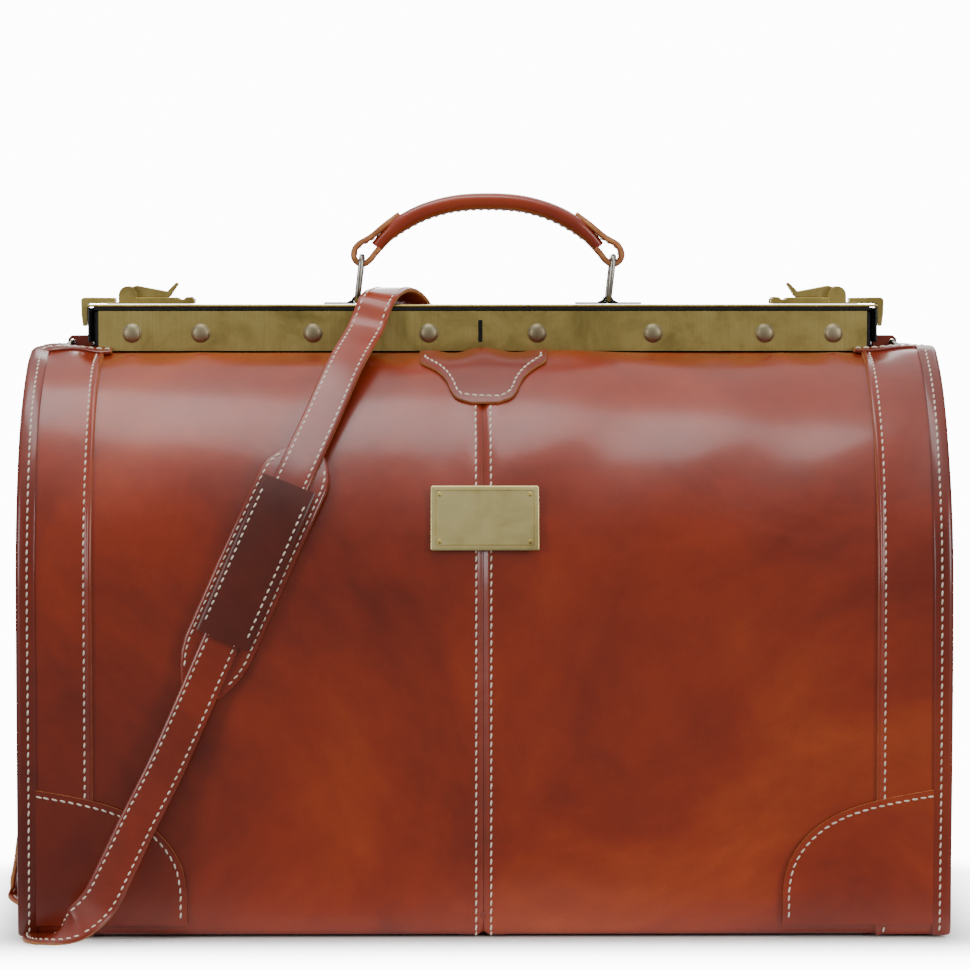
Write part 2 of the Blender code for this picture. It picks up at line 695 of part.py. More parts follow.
def shoulder_strap():
    """The strap, the pad behind it on the front and the sleeve that holds the two together."""
    samples = strap_samples(3)
    frames = strap_frames(samples)
    half = STRAP_T / 2
    ribbon("shoulder_strap", frames, lambda share: STRAP_WIDTH / 2, -half, half, "leather")
    front = [frame for frame in strap_frames(strap_samples(6)) if frame[0].y < -0.09 and frame[0].x > -0.2]
    pad = [frame for frame in front if PAD_SPAN[0] < frame[0].z < PAD_SPAN[1]]
    sleeve = [frame for frame in front if SLEEVE_SPAN[0] < frame[0].z < SLEEVE_SPAN[1]]

    def pad_width(share):
        end = min(share, 1 - share)
        return 0.019 * (1 - max(0.0, 1 - end / 0.13) ** 2 * 0.45)

    ribbon("strap_pad", pad, pad_width, -half - 0.0030, -half - 2 * GAP, "leather_dark")
    ribbon("pad_sleeve", sleeve, lambda share: 0.015, half + 2 * GAP, half + 0.0020, "leather_dark")


def strap_tab(label, side):
    """The leather tab on a rear jaw's arm and the wire ring in it that holds the strap's end."""
    low = (0.2173, -0.0070, 0.3126)
    high = (0.2308, 0.0070, 0.3205)
    outline = [(low[0], low[2]), (high[0] - 0.002, low[2]), (high[0], low[2] + 0.002)]
    outline += [(high[0], high[2] - 0.002), (high[0] - 0.002, high[2]), (low[0], high[2])]
    tab = prism_y(f"strap_tab_{label}", mirrored(outline, -side), (low[1], high[1]), "leather_dark")
    bore = turned(
        f"tab_bore_{label}",
        ((WIRE_R + 0.0004, -0.010), (WIRE_R + 0.0004, 0.010)),
        (side * TAB_RING_X, 0.0, TAB_RING_Z),
        (0, 1, 0),
        "wire",
        12,
    )
    combine(tab, bore, "DIFFERENCE")
    down = Vector((side * sin(TAB_RING_TILT), 0, -cos(TAB_RING_TILT)))
    wire_loop(f"strap_ring_{label}", (side * TAB_RING_X, 0.0, TAB_RING_Z), down, 0.0118, TAB_RING_DROP)


# ---------------------------------------------------------------- small pieces


def name_plate():
    """A blank rectangular plate over the centre seam, flat against the curved front."""
    middle = 0.2242
    y = wall_y(middle)
    up = Vector((0, wall_y(middle + 0.01) - wall_y(middle - 0.01), 0.02)).normalized()
    out = up.cross(Vector((-1, 0, 0))).normalized()
    out = out if out.y < 0 else -out
    centre = Vector((0.0, y, middle)) + out * 0.0014
    half_w, half_h, r = 0.0288, 0.0176, 0.0008
    outline = []
    for sx, sz, start in ((1, 1, 0), (-1, 1, 90), (-1, -1, 180), (1, -1, 270)):
        outline += arc((sx * (half_w - r), sz * (half_h - r)), r, start, start + 90, 2)
    loops = []
    for depth in (0.0, 0.0012):
        loops.append([centre + Vector((a, 0, 0)) + up * b + out * depth for a, b in outline])
    loft("name_plate", loops, "brass")


def feet():
    """Flat-bottomed studs under the base, one at each corner and one in the middle."""
    places = ((0.0, 0.0), (-0.190, -0.080), (0.190, -0.080), (-0.190, 0.080), (0.190, 0.080))
    profile = ((0.0058, 0.0), (0.0066, 0.0008), (0.0072, 0.0030), (0.0072, BASE_Z - GAP))
    for number, (x, y) in enumerate(places, 1):
        turned(f"base_foot_{number}", profile, (x, y, 0.0), (0, 0, 1), "brass_dark")


def hang_on(pivot_name, pivot, names, parent=None):
    """Puts pieces under an empty at the point that they move about, without moving them."""
    empty = bpy.data.objects.new(pivot_name, None)
    empty.empty_display_size = 0.02
    bpy.context.scene.collection.objects.link(empty)
    empty.location = Vector(pivot) - (Vector(parent[1]) if parent else Vector())
    if parent:
        empty.parent = parent[0]
    for name in names:
        obj = bpy.data.objects[name]
        obj.data.transform(Matrix.Translation(-Vector(pivot)))
        obj.parent = empty
    return empty, pivot


def bodies():
    """Every moving body's pieces, hung on their joint's axis."""
    rivets = [f"front_rivet_{number}" for number in range(1, 2 * len(RIVET_X) + 1)]
    hinge = (0.0, 0.0, HINGE_Z)
    front = hang_on("front_jaw", hinge, ["front_rail", "front_strip", "lock_case", "upper_front", "centre_patch"] + rivets)
    hang_on("lock_slide", (-0.0070, -0.0145, 0.3235), ["lock_bolt"], front)
    fixed = ["rear_rail", "rear_strip", "top_cap", "upper_rear"]
    for label in ("left", "right"):
        fixed += [f"latch_base_{label}", f"handle_plate_{label}", f"strap_tab_{label}", f"strap_ring_{label}"]
    rear = hang_on("rear_jaw", hinge, fixed)
    for label, side in (("left", -1), ("right", 1)):
        lever_axis = (side * LATCH_AXIS[0], 0.0, LATCH_AXIS[1])
        hang_on(f"lever_{label}", lever_axis, [f"latch_lever_{label}"], rear)
        hang_on(f"hook_{label}", (side * 0.2035, 0.0, 0.3400), [f"latch_hook_{label}"], rear)
    left = hang_on("ring_left", (-RING_PITCH, 0.0, RING_AXIS_Z), ["handle_ring_left"], rear)
    hang_on("ring_right", (RING_PITCH, 0.0, RING_AXIS_Z), ["handle_ring_right"], rear)
    top = (-RING_PITCH + RING_LENGTH * sin(RING_LEAN), 0.0, RING_AXIS_Z + RING_LENGTH * cos(RING_LEAN))
    hang_on("grip", top, ["handle_grip"], left)


def main():
    for obj in list(bpy.data.objects):
        bpy.data.objects.remove(obj, do_unlink=True)
    material("leather", (0.42, 0.11, 0.035), 0.28)
    material("leather_dark", (0.30, 0.07, 0.025), 0.32)
    material("lining", (0.35, 0.25, 0.16), 0.9)
    material("board", (0.25, 0.20, 0.15), 0.85)
    material("brass", (0.50, 0.40, 0.18), 0.38, 1.0)
    material("brass_dark", (0.30, 0.25, 0.14), 0.42, 1.0)
    material("steel_black", (0.02, 0.02, 0.02), 0.25, 0.6)
    material("steel", (0.45, 0.45, 0.45), 0.35, 1.0)
    material("wire", (0.28, 0.26, 0.22), 0.38, 1.0)

    lower_walls()
    upper_half("upper_front", -1)
    upper_half("upper_rear", 1)
    for label, side in (("left", -1), ("right", 1)):
        end_panel(f"end_panel_{label}", side)
        binding(f"binding_{label}", side)
        corner_patch(f"corner_patch_front_{label}", side, -1)
        corner_patch(f"corner_patch_rear_{label}", side, 1)
        hinge_pin(f"hinge_pin_{label}", side)
        latch(label, side)
        strap_tab(label, side)
    centre_patch()
    jaw_strips(rails())
    lock()
    handle()
    shoulder_strap()
    name_plate()
    feet()
    bodies()


main()
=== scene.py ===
import json
from math import cos, exp, pi, radians, sin

import bmesh
import bpy
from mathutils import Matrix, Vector

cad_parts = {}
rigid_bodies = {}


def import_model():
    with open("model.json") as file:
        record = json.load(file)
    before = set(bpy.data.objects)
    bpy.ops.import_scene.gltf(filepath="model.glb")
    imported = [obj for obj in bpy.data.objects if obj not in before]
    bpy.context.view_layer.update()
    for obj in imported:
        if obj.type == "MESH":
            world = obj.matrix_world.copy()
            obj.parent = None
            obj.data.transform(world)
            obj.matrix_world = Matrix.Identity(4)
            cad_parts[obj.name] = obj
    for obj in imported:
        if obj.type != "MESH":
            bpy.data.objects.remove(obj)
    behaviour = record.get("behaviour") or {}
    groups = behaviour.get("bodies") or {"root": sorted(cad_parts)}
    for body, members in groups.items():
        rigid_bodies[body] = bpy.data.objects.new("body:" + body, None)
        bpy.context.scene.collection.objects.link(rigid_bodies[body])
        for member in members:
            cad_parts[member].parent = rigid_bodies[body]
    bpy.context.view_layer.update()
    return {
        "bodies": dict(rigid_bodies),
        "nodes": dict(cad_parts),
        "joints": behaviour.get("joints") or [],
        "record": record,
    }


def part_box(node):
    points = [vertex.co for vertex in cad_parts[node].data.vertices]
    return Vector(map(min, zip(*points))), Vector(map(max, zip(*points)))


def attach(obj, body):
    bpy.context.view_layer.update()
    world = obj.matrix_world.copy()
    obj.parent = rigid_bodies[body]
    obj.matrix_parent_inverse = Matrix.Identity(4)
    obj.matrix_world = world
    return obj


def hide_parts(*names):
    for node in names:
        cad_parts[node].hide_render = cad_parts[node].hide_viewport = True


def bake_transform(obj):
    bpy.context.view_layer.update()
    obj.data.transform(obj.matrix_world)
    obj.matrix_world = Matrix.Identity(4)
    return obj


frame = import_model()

NODES = frame["nodes"]
JOINTS = {joint["name"]: joint for joint in frame["record"]["behaviour"]["joints"]}
HINGE = Vector(JOINTS["front_jaw_hinge"]["pos_m"])

# Sides of the bag, as the sign of y or x and the word in piece names
FACES = ((-1, "front"), (1, "rear"))
ENDS = ((-1, "left"), (1, "right"))

# ---------------- stage and camera

FLOOR_HALF = 9
SHADOW_X, SHADOW_Y, SHADOW_FADE = 0.24, 0.12, 0.11
BACKDROP_EDGE, BACKDROP_STRENGTH = (0.955, 0.975), (0.0, 13.0)
CEILING_EDGE, CEILING_STRENGTH = (0.35, 1.0), (0.3, 1.15)
CAMERA_PLACE, CAMERA_TARGET, CAMERA_LENS = (-0.025, -2.425, 0.352), (0.0, -0.125, 0.2425), 161

# Name, place, target, size and watts of each lamp
LAMPS = (
    ("key_top", (-0.2, -0.24, 1.65), (0, -0.05, 0.2), (1.5, 0.6), 10.5),
    ("fill_right", (1.7, -1.5, 0.8), (0.1, 0, 0.15), (0.6, 1.1), 17),
    ("fill_left", (-1.8, -1.6, 0.7), (-0.1, 0, 0.15), (0.6, 1.1), 15),
    ("back_rim", (0.3, 1.6, 1.3), (0, 0, 0.25), (1.4, 0.6), 8),
)


def look_at(obj, target):
    obj.rotation_euler = (Vector(target) - obj.location).to_track_quat("-Z", "Y").to_euler()


def placed(name, data, place, target):
    """A lamp or camera at a place, turned to its target."""
    obj = bpy.data.objects.new(name, data)
    obj.location = place
    bpy.context.scene.collection.objects.link(obj)
    look_at(obj, target)
    return obj


def lamp(name, place, target, size, watts):
    data = bpy.data.lights.new(name, "AREA")
    data.shape = "RECTANGLE"
    data.size, data.size_y = size
    data.energy = watts
    placed(name, data, place, target)


def maths(tree, operation, first, second=0.0):
    node = tree.nodes.new("ShaderNodeMath")
    node.operation = operation
    for socket, value in zip(node.inputs, (first, second)):
        if isinstance(value, bpy.types.NodeSocket):
            tree.links.new(value, socket)
        else:
            socket.default_value = value
    return node.outputs["Value"]


def eased(tree, value, span, values):
    """The value carried from one span to another, eased at both ends."""
    node = tree.nodes.new("ShaderNodeMapRange")
    node.interpolation_type = "SMOOTHSTEP"
    for socket, number in zip(("From Min", "From Max", "To Min", "To Max"), (*span, *values)):
        node.inputs[socket].default_value = number
    tree.links.new(value, node.inputs["Value"])
    return node.outputs["Result"]


def split_coords(tree, kind):
    node = tree.nodes.new("ShaderNodeSeparateXYZ")
    tree.links.new(tree.nodes.new("ShaderNodeTexCoord").outputs[kind], node.inputs["Vector"])
    return node.outputs


def floor():
    """Pale floor that fades out a little way from the bag's footprint."""
    r = FLOOR_HALF
    mesh = bpy.data.meshes.new("floor")
    mesh.from_pydata([(-r, -r, 0), (r, -r, 0), (r, r, 0), (-r, r, 0)], [], [(0, 1, 2, 3)])
    obj = bpy.data.objects.new("floor", mesh)
    bpy.context.scene.collection.objects.link(obj)
    mat = bpy.data.materials.new("floor_white")
    mat.use_nodes = True
    shader = mat.node_tree.nodes["Principled BSDF"]
    shader.inputs["Base Color"].default_value = (0.93, 0.93, 0.93, 1)
    shader.inputs["Roughness"].default_value = 0.6
    tree = mat.node_tree
    place = split_coords(tree, "Object")
    squares = []
    for axis, reach in (("X", SHADOW_X), ("Y", SHADOW_Y)):
        past = maths(tree, "SUBTRACT", maths(tree, "ABSOLUTE", place[axis]), reach)
        past = maths(tree, "MAXIMUM", past, 0.0)
        squares.append(maths(tree, "MULTIPLY", past, past))
    away = maths(tree, "SQRT", maths(tree, "ADD", *squares))
    tree.links.new(eased(tree, away, (0.0, SHADOW_FADE), (1.0, 0.0)), shader.inputs["Alpha"])
    mesh.materials.append(mat)


def studio():
    """A sky that is bright behind the bag and soft above it."""
    world = bpy.data.worlds.new("studio")
    world.use_nodes = True
    tree = world.node_tree
    ground = tree.nodes["Background"]
    ground.inputs["Color"].default_value = (1, 1, 1, 1)
    place = split_coords(tree, "Generated")
    back = eased(tree, place["Y"], BACKDROP_EDGE, BACKDROP_STRENGTH)
    above = eased(tree, place["Z"], CEILING_EDGE, CEILING_STRENGTH)
    tree.links.new(maths(tree, "ADD", back, above), ground.inputs["Strength"])
    bpy.context.scene.world = world


def stage():
    floor()
    studio()
    for row in LAMPS:
        lamp(*row)
    data = bpy.data.cameras.new("camera")
    data.lens = CAMERA_LENS
    data.sensor_width = 36
    data.clip_end = 30
    bpy.context.scene.camera = placed("camera", data, CAMERA_PLACE, CAMERA_TARGET)


# ---------------- materials

MATERIALS = {}


class Nodes:
    """Small helper that adds and joins shader nodes."""

    def __init__(self, name):
        self.mat = bpy.data.materials.new(name)
        self.mat.use_nodes = True
        self.tree = self.mat.node_tree
        self.shader = self.tree.nodes["Principled BSDF"]
        self.coords = self.tree.nodes.new("ShaderNodeTexCoord").outputs["Object"]
        MATERIALS[name] = self.mat

    def link(self, a, b):
        self.tree.links.new(a, b)

    def noise(self, scale, detail=4.0, rough=0.55, stretch=(1, 1, 1), warp=0.0):
        mapping = self.tree.nodes.new("ShaderNodeMapping")
        mapping.inputs["Scale"].default_value = stretch
        self.link(self.coords, mapping.inputs["Vector"])
        node = self.tree.nodes.new("ShaderNodeTexNoise")
        node.inputs["Scale"].default_value = scale
        node.inputs["Detail"].default_value = detail
        node.inputs["Roughness"].default_value = rough
        node.inputs["Distortion"].default_value = warp
        self.link(mapping.outputs["Vector"], node.inputs["Vector"])
        return node.outputs["Fac"]

    def cells(self, scale):
        node = self.tree.nodes.new("ShaderNodeTexVoronoi")
        node.feature = "DISTANCE_TO_EDGE"
        node.inputs["Scale"].default_value = scale
        self.link(self.coords, node.inputs["Vector"])
        return node.outputs["Distance"]

    def weave(self, scale):
        node = self.tree.nodes.new("ShaderNodeTexWave")
        node.inputs["Scale"].default_value = scale
        self.link(self.coords, node.inputs["Vector"])
        return node.outputs["Fac"]

    def ramp(self, value, stops):
        node = self.tree.nodes.new("ShaderNodeValToRGB")
        elements = node.color_ramp.elements
        while len(elements) < len(stops):
            elements.new(0.5)
        for element, (place, colour) in zip(elements, stops):
            element.position = place
            element.color = (*colour, 1) if len(colour) == 3 else colour
        self.link(value, node.inputs["Fac"])
        return node.outputs["Color"]

    def mix(self, share, a, b, mode="MIX"):
        node = self.tree.nodes.new("ShaderNodeMix")
        node.data_type = "RGBA"
        node.blend_type = mode
        for socket, value in ((node.inputs["Factor"], share), (node.inputs[6], a), (node.inputs[7], b)):
            if isinstance(value, bpy.types.NodeSocket):
                self.link(value, socket)
            elif isinstance(value, tuple):
                socket.default_value = (*value, 1)
            else:
                socket.default_value = value
        return node.outputs[2]

    def scaled(self, value, low, high):
        node = self.tree.nodes.new("ShaderNodeMapRange")
        node.inputs["To Min"].default_value = low
        node.inputs["To Max"].default_value = high
        self.link(value, node.inputs["Value"])
        return node.outputs["Result"]

    def bump(self, value, distance, strength=1.0, under=None):
        node = self.tree.nodes.new("ShaderNodeBump")
        node.inputs["Distance"].default_value = distance
        node.inputs["Strength"].default_value = strength
        self.link(value, node.inputs["Height"])
        if under is not None:
            self.link(under, node.inputs["Normal"])
        return node.outputs["Normal"]

    def set(self, **values):
        """Sets or joins the shader's sockets; _ stands for a blank."""
        for key, value in values.items():
            socket = self.shader.inputs[key.replace("_", " ")]
            if isinstance(value, bpy.types.NodeSocket):
                self.link(value, socket)
            elif isinstance(value, tuple):
                socket.default_value = (*value, 1)
            else:
                socket.default_value = value


def leather(name, dark, middle, light, gloss, coat):
    """Polished vegetable-tanned hide: cloudy colour, fine pores, long faint creases."""
    m = Nodes(name)
    clouds = m.ramp(m.noise(5.5, 5, 0.6, warp=0.6), ((0.3, dark), (0.52, middle), (0.74, light)))
    mottled = m.mix(m.scaled(m.noise(60, 4, 0.7), 0.0, 0.35), clouds, dark, "MULTIPLY")
    pores = m.scaled(m.noise(900, 2, 0.5), 0.86, 1.08)
    coloured = m.mix(1.0, mottled, m.ramp(pores, ((0.0, (0, 0, 0)), (1.0, (1, 1, 1)))), "MULTIPLY")
    rough = m.scaled(m.noise(35, 5, 0.65), *gloss)
    creases = m.bump(m.noise(11, 3, 0.5, warp=0.8), 0.002, 0.6)
    grain = m.bump(m.cells(700), 0.00006, 0.35, creases)
    m.set(Base_Color=coloured, Roughness=rough, Normal=grain)
    m.set(Coat_Weight=coat, Coat_Roughness=0.17, IOR=1.5, Specular_IOR_Level=0.5)
    return m.mat


def raw_edge(name):
    """Cut hide edge: pale, dry and fibrous."""
    m = Nodes(name)
    colour = m.ramp(m.noise(180, 4, 0.7), ((0.3, (0.3, 0.1, 0.03)), (0.7, (0.62, 0.27, 0.09))))
    m.set(Base_Color=colour, Roughness=m.scaled(m.noise(400, 2), 0.5, 0.8))
    m.set(Normal=m.bump(m.noise(1500, 3), 0.0001, 0.6))
    return m.mat


def thread(name):
    """Waxed cream thread with a fine twist."""
    m = Nodes(name)
    colour = m.ramp(m.noise(300, 3, 0.6), ((0.3, (0.62, 0.5, 0.36)), (0.6, (0.88, 0.8, 0.66))))
    m.set(Base_Color=colour, Roughness=0.55, Normal=m.bump(m.noise(2600, 2), 0.00008, 0.6))
    return m.mat


def metal(name, dark, middle, light, rough, stretch, brush=0.3, anisotropy=0.1):
    """Brushed metal with brown age marks; stretch draws the brushing out along one direction."""
    m = Nodes(name)
    lines = m.noise(40, 3, 0.6, stretch)
    age = m.noise(28, 5, 0.65, warp=0.5)
    colour = m.ramp(age, ((0.28, dark), (0.5, middle), (0.78, light)))
    brushed = m.mix(m.scaled(lines, 0.0, brush), colour, dark, "MIX")
    m.set(Base_Color=brushed, Metallic=1.0, Roughness=m.scaled(lines, *rough), Anisotropic=anisotropy)
    m.set(Normal=m.bump(lines, 0.00004, 0.35))
    return m.mat


def plain(name, dark, light, rough, metallic=0.0, coat=0.0, scale=300, bump=0.00005):
    """A quiet surface with a little change in colour and roughness."""
    m = Nodes(name)
    grain = m.noise(scale, 4, 0.6)
    m.set(Base_Color=m.ramp(grain, ((0.3, dark), (0.7, light))), Metallic=metallic, Coat_Weight=coat)
    m.set(Roughness=m.scaled(m.noise(60, 4), *rough), Normal=m.bump(grain, bump, 0.5))
    return m.mat


# Dark, middle and light colour, roughness from and to, coat
HIDES = {
    "hide": ((0.165, 0.012, 0.0018), (0.34, 0.032, 0.004), (0.52, 0.08, 0.01), (0.24, 0.4), 0.4),
    "hide_dark": ((0.12, 0.009, 0.0016), (0.25, 0.022, 0.0032), (0.39, 0.05, 0.008), (0.24, 0.38), 0.4),
    "hide_worn": ((0.075, 0.007, 0.002), (0.15, 0.015, 0.003), (0.24, 0.03, 0.006), (0.3, 0.48), 0.15),
    "hide_tan": ((0.26, 0.045, 0.008), (0.4, 0.085, 0.018), (0.54, 0.14, 0.034), (0.35, 0.5), 0.2),
}

# Dark, middle and light colour, roughness from and to, brushing's stretch, its depth and anisotropy
BRASS_DARK = (0.26, 0.19, 0.055)
EVEN = (6, 6, 6)
METALS = {
    "brass": (BRASS_DARK, (0.6, 0.47, 0.155), (0.8, 0.66, 0.26), (0.34, 0.52), (22, 22, 0.6), 0.75, 0.4),
    "brass_flat": (BRASS_DARK, (0.55, 0.43, 0.14), (0.78, 0.64, 0.25), (0.32, 0.5), (0.6, 22, 22), 0.5, 0.4),
    "brass_dark": ((0.17, 0.14, 0.08), (0.34, 0.29, 0.18), (0.5, 0.44, 0.28), (0.42, 0.58), EVEN),
    "plate": ((0.44, 0.36, 0.14), (0.66, 0.56, 0.25), (0.8, 0.7, 0.36), (0.34, 0.48), (0.8, 18, 18), 0.3, 0.2),
    "nickel": ((0.12, 0.11, 0.09), (0.3, 0.28, 0.24), (0.45, 0.43, 0.38), (0.22, 0.38), EVEN),
    "gunmetal": ((0.02, 0.02, 0.018), (0.06, 0.058, 0.05), (0.13, 0.12, 0.1), (0.3, 0.5), EVEN),
    "steel": ((0.2, 0.2, 0.2), (0.4, 0.4, 0.41), (0.55, 0.55, 0.56), (0.28, 0.42), (10, 10, 2)),
}


def make_materials():
    for name, look in HIDES.items():
        leather(name, *look)
    raw_edge("edge")
    thread("thread")
    for name, look in METALS.items():
        metal(name, *look)
    plain("black_steel", (0.008, 0.008, 0.009), (0.022, 0.021, 0.02), (0.18, 0.34), 0.4, 0.4)
    plain("board", (0.16, 0.12, 0.08), (0.27, 0.21, 0.15), (0.8, 0.95), scale=240, bump=0.0002)
    cloth = Nodes("cotton")
    threads = cloth.mix(0.5, cloth.weave(420), cloth.noise(700, 2, 0.5, (1, 1, 0.1)))
    cloth.set(Base_Color=cloth.ramp(threads, ((0.2, (0.3, 0.21, 0.13)), (0.8, (0.5, 0.38, 0.25)))))
    cloth.set(Roughness=0.92, Normal=cloth.bump(threads, 0.0002, 0.5), Sheen_Weight=0.3)


# ---------------- mesh helpers


def shown(name, mesh, mats, sharp=35):
    """A new object with smooth shading, sharp only over the given angle in degrees."""
    for key in mats:
        mesh.materials.append(MATERIALS[key])
    mesh.polygons.foreach_set("use_smooth", [True] * len(mesh.polygons))
    mesh.set_sharp_from_angle(angle=radians(sharp))
    obj = bpy.data.objects.new(name, mesh)
    bpy.context.scene.collection.objects.link(obj)
    return obj


def solid(name, verts, faces, mats, kinds=None, sharp=35):
    """A closed mesh with its faces turned outwards; kinds gives the material of each face."""
    mesh = bpy.data.meshes.new(name)
    mesh.from_pydata(verts, [], faces)
    if kinds:
        mesh.polygons.foreach_set("material_index", kinds)
    build = bmesh.new()
    build.from_mesh(mesh)
    bmesh.ops.recalc_face_normals(build, faces=build.faces)
    build.to_mesh(mesh)
    build.free()
    return shown(name, mesh, mats, sharp)


def lofted(name, loops, mats, index=None, sharp=35):
    """A solid through equal loops of points; index gives the material of each side of the section."""
    count = len(loops[0])
    verts = [point for loop in loops for point in loop]
    faces, kinds = [], []
    for a in range(0, len(verts) - count, count):
        for j in range(count):
            k = (j + 1) % count
            faces.append((a + j, a + k, a + count + k, a + count + j))
            kinds.append(index[j] if index else 0)
    faces.append(tuple(range(count))[::-1])
    faces.append(tuple(len(verts) - count + j for j in range(count)))
    kinds += [len(mats) - 1, len(mats) - 1]
    return solid(name, verts, faces, mats, kinds, sharp)


def slab(name, grid, low, high, mats=("hide", "edge", "hide_worn"), round_off=0.0):
    """A sheet over a grid of (point, normal), from low to high along the normal, with a softened rim."""
    rows, cols = len(grid), len(grid[0])
    verts = [p + n * high for row in grid for p, n in row] + [p + n * low for row in grid for p, n in row]
    under = rows * cols
    faces, kinds = [], []
    for i in range(rows - 1):
        for j in range(cols - 1):
            quad = (i * cols + j, i * cols + j + 1, (i + 1) * cols + j + 1, (i + 1) * cols + j)
            faces += [quad, tuple(v + under for v in quad[::-1])]
            kinds += [0, 2]
    ring = list(range(cols)) + [i * cols + cols - 1 for i in range(1, rows)]
    ring += [(rows - 1) * cols + j for j in range(cols - 2, -1, -1)]
    ring += [i * cols for i in range(rows - 2, 0, -1)]
    for a, b in zip(ring, ring[1:] + ring[:1]):
        faces.append((b, a, a + under, b + under))
        kinds.append(1)
    obj = solid(name, verts, faces, mats, kinds, 40)
    if round_off:
        soften(obj, round_off)
    return obj


def soften(obj, width, angle=40, harden=False):
    """Rounds off every edge sharper than the angle in degrees."""
    bevel = obj.modifiers.new("soft_edges", "BEVEL")
    bevel.width = width
    bevel.segments = 2
    bevel.limit_method = "ANGLE"
    bevel.angle_limit = radians(angle)
    bevel.harden_normals = harden


# Pitch, length and width of a stitch: on the walls, on the strap and on the handle
WALL_STITCH = (0.0045, 0.0033, 0.00105)
STRAP_STITCH = (0.0043, 0.0031, 0.001)
HANDLE_STITCH = (0.0042, 0.003, 0.0009)
STITCH_LIFT, STITCH_SINK, STITCH_SLANT = 0.0001, 0.00045, 0.13

# Place along a stitch, in lengths from its middle, and thickness there
STITCH_RINGS = ((-0.5, 0.35), (-0.36, 0.85), (0.0, 1.0), (0.36, 0.85), (0.5, 0.35))


def stitches(name, line, lift, pitch, length, width):
    """Thread stitches, raised by lift over a line of (point, normal), in one object."""
    path = [point + normal * lift for point, normal in line]
    verts, faces = [], []
    travelled, due = 0.0, pitch / 2
    for i in range(len(path) - 1):
        a, b = path[i], path[i + 1]
        step = (b - a).length
        while step > 1e-9 and travelled + step >= due:
            share = (due - travelled) / step
            out = line[i][1].lerp(line[i + 1][1], share).normalized()
            along = (b - a).normalized()
            across = along.cross(out).normalized()
            along = (along + across * STITCH_SLANT).normalized()
            across = along.cross(out).normalized()
            centre = a.lerp(b, share) + out * STITCH_LIFT
            base = len(verts)
            for place, size in STITCH_RINGS:
                middle = centre + along * (length * place) + out * (-STITCH_SINK * (2 * abs(place)) ** 2)
                radius = width / 2 * size
                for k in range(6):
                    angle = k * pi / 3
                    verts.append(middle + across * (cos(angle) * radius) + out * (sin(angle) * radius))
            for r in range(base, base + 24, 6):
                for k in range(6):
                    n = (k + 1) % 6
                    faces.append((r + k, r + n, r + 6 + n, r + 6 + k))
            faces.append(tuple(base + k for k in range(6))[::-1])
            faces.append(tuple(base + 24 + k for k in range(6)))
            due += pitch
        travelled += step
    return solid(name, verts, faces, ("thread",), sharp=60)


def direction(points, i):
    """Direction of a path at its point i."""
    return (points[min(i + 1, len(points) - 1)] - points[max(i - 1, 0)]).normalized()


def smooth(points, steps):
    """Catmull-Rom curve through the points."""
    points = [Vector(point) for point in points]
    last = len(points) - 1
    out = []
    for i in range(last):
        p0, p1, p2, p3 = points[max(i - 1, 0)], points[i], points[i + 1], points[min(i + 2, last)]
        for k in range(steps):
            t = k / steps
            out.append(0.5 * (
                2 * p1 + (p2 - p0) * t + (2 * p0 - 5 * p1 + 4 * p2 - p3) * t * t
                + (3 * p1 - p0 - 3 * p2 + p3) * t ** 3
            ))
    out.append(points[-1].copy())
    return out


# ---------------- shape of the leather walls

END_X = 0.2475
BASE_Z = 0.0058
RIM_Z, RIM_R = 0.0012, 0.006
EDGE_Z = 0.3116  # height of the walls' top edge
CREASE_X = 0.2225
FOLD_START_Z = 0.1
FOLD_DIP = 0.014
SHOULDER = ((-0.0235, EDGE_Z), (-0.066, EDGE_Z), (-0.126, 0.264), (-0.126, 0.185))
BELLY = ((-0.126, 0.185), (-0.126, 0.12), (-0.125, 0.06), (-0.1212, RIM_Z + RIM_R))
SHOULDER_STEPS, BELLY_STEPS = 60, 40
EAR_START, EAR_RISE, EAR_R = 0.2125, 0.0012, 0.011
SEAM_X = -0.0008
STRIP_EDGE, STRIP_SEAM = 0.209, 0.2131
STRIP_LIFT, PANEL_LAP = 0.0013, 0.006
HIDE_T = 0.0018
NEAR = 0.002  # step over which an end panel's slope is measured


def bezier(points, t):
    a, b, c, d = (Vector(p) for p in points)
    u = 1 - t
    return a * u ** 3 + b * (3 * u * u * t) + c * (3 * u * t * t) + d * t ** 3


def make_profile():
    """(distance, point, outward normal) down the front wall, round the base corner and to the middle."""
    points = [bezier(SHOULDER, i / SHOULDER_STEPS) for i in range(SHOULDER_STEPS)]
    points += [bezier(BELLY, i / BELLY_STEPS) for i in range(BELLY_STEPS + 1)]
    centre = Vector((BELLY[-1][0] + RIM_R, RIM_Z + RIM_R))
    points += [centre - Vector((cos(a), sin(a))) * RIM_R for a in (pi / 16 * i for i in range(1, 9))]
    for i in range(1, 21):
        points.append(Vector((centre.x * (1 - i / 20), RIM_Z + (BASE_Z - RIM_Z) * min(1.0, i / 3))))
    rows, travelled = [], 0.0
    for i, point in enumerate(points):
        along = direction(points, i)
        if i:
            travelled += (point - points[i - 1]).length
        rows.append((travelled, point, Vector((along.y, -along.x))))
    return rows


PROFILE = make_profile()
WALL_LENGTH = PROFILE[SHOULDER_STEPS + BELLY_STEPS + 1][0]
FOOT_S = WALL_LENGTH + pi / 2 * RIM_R
TRIM_END = WALL_LENGTH + 0.0032


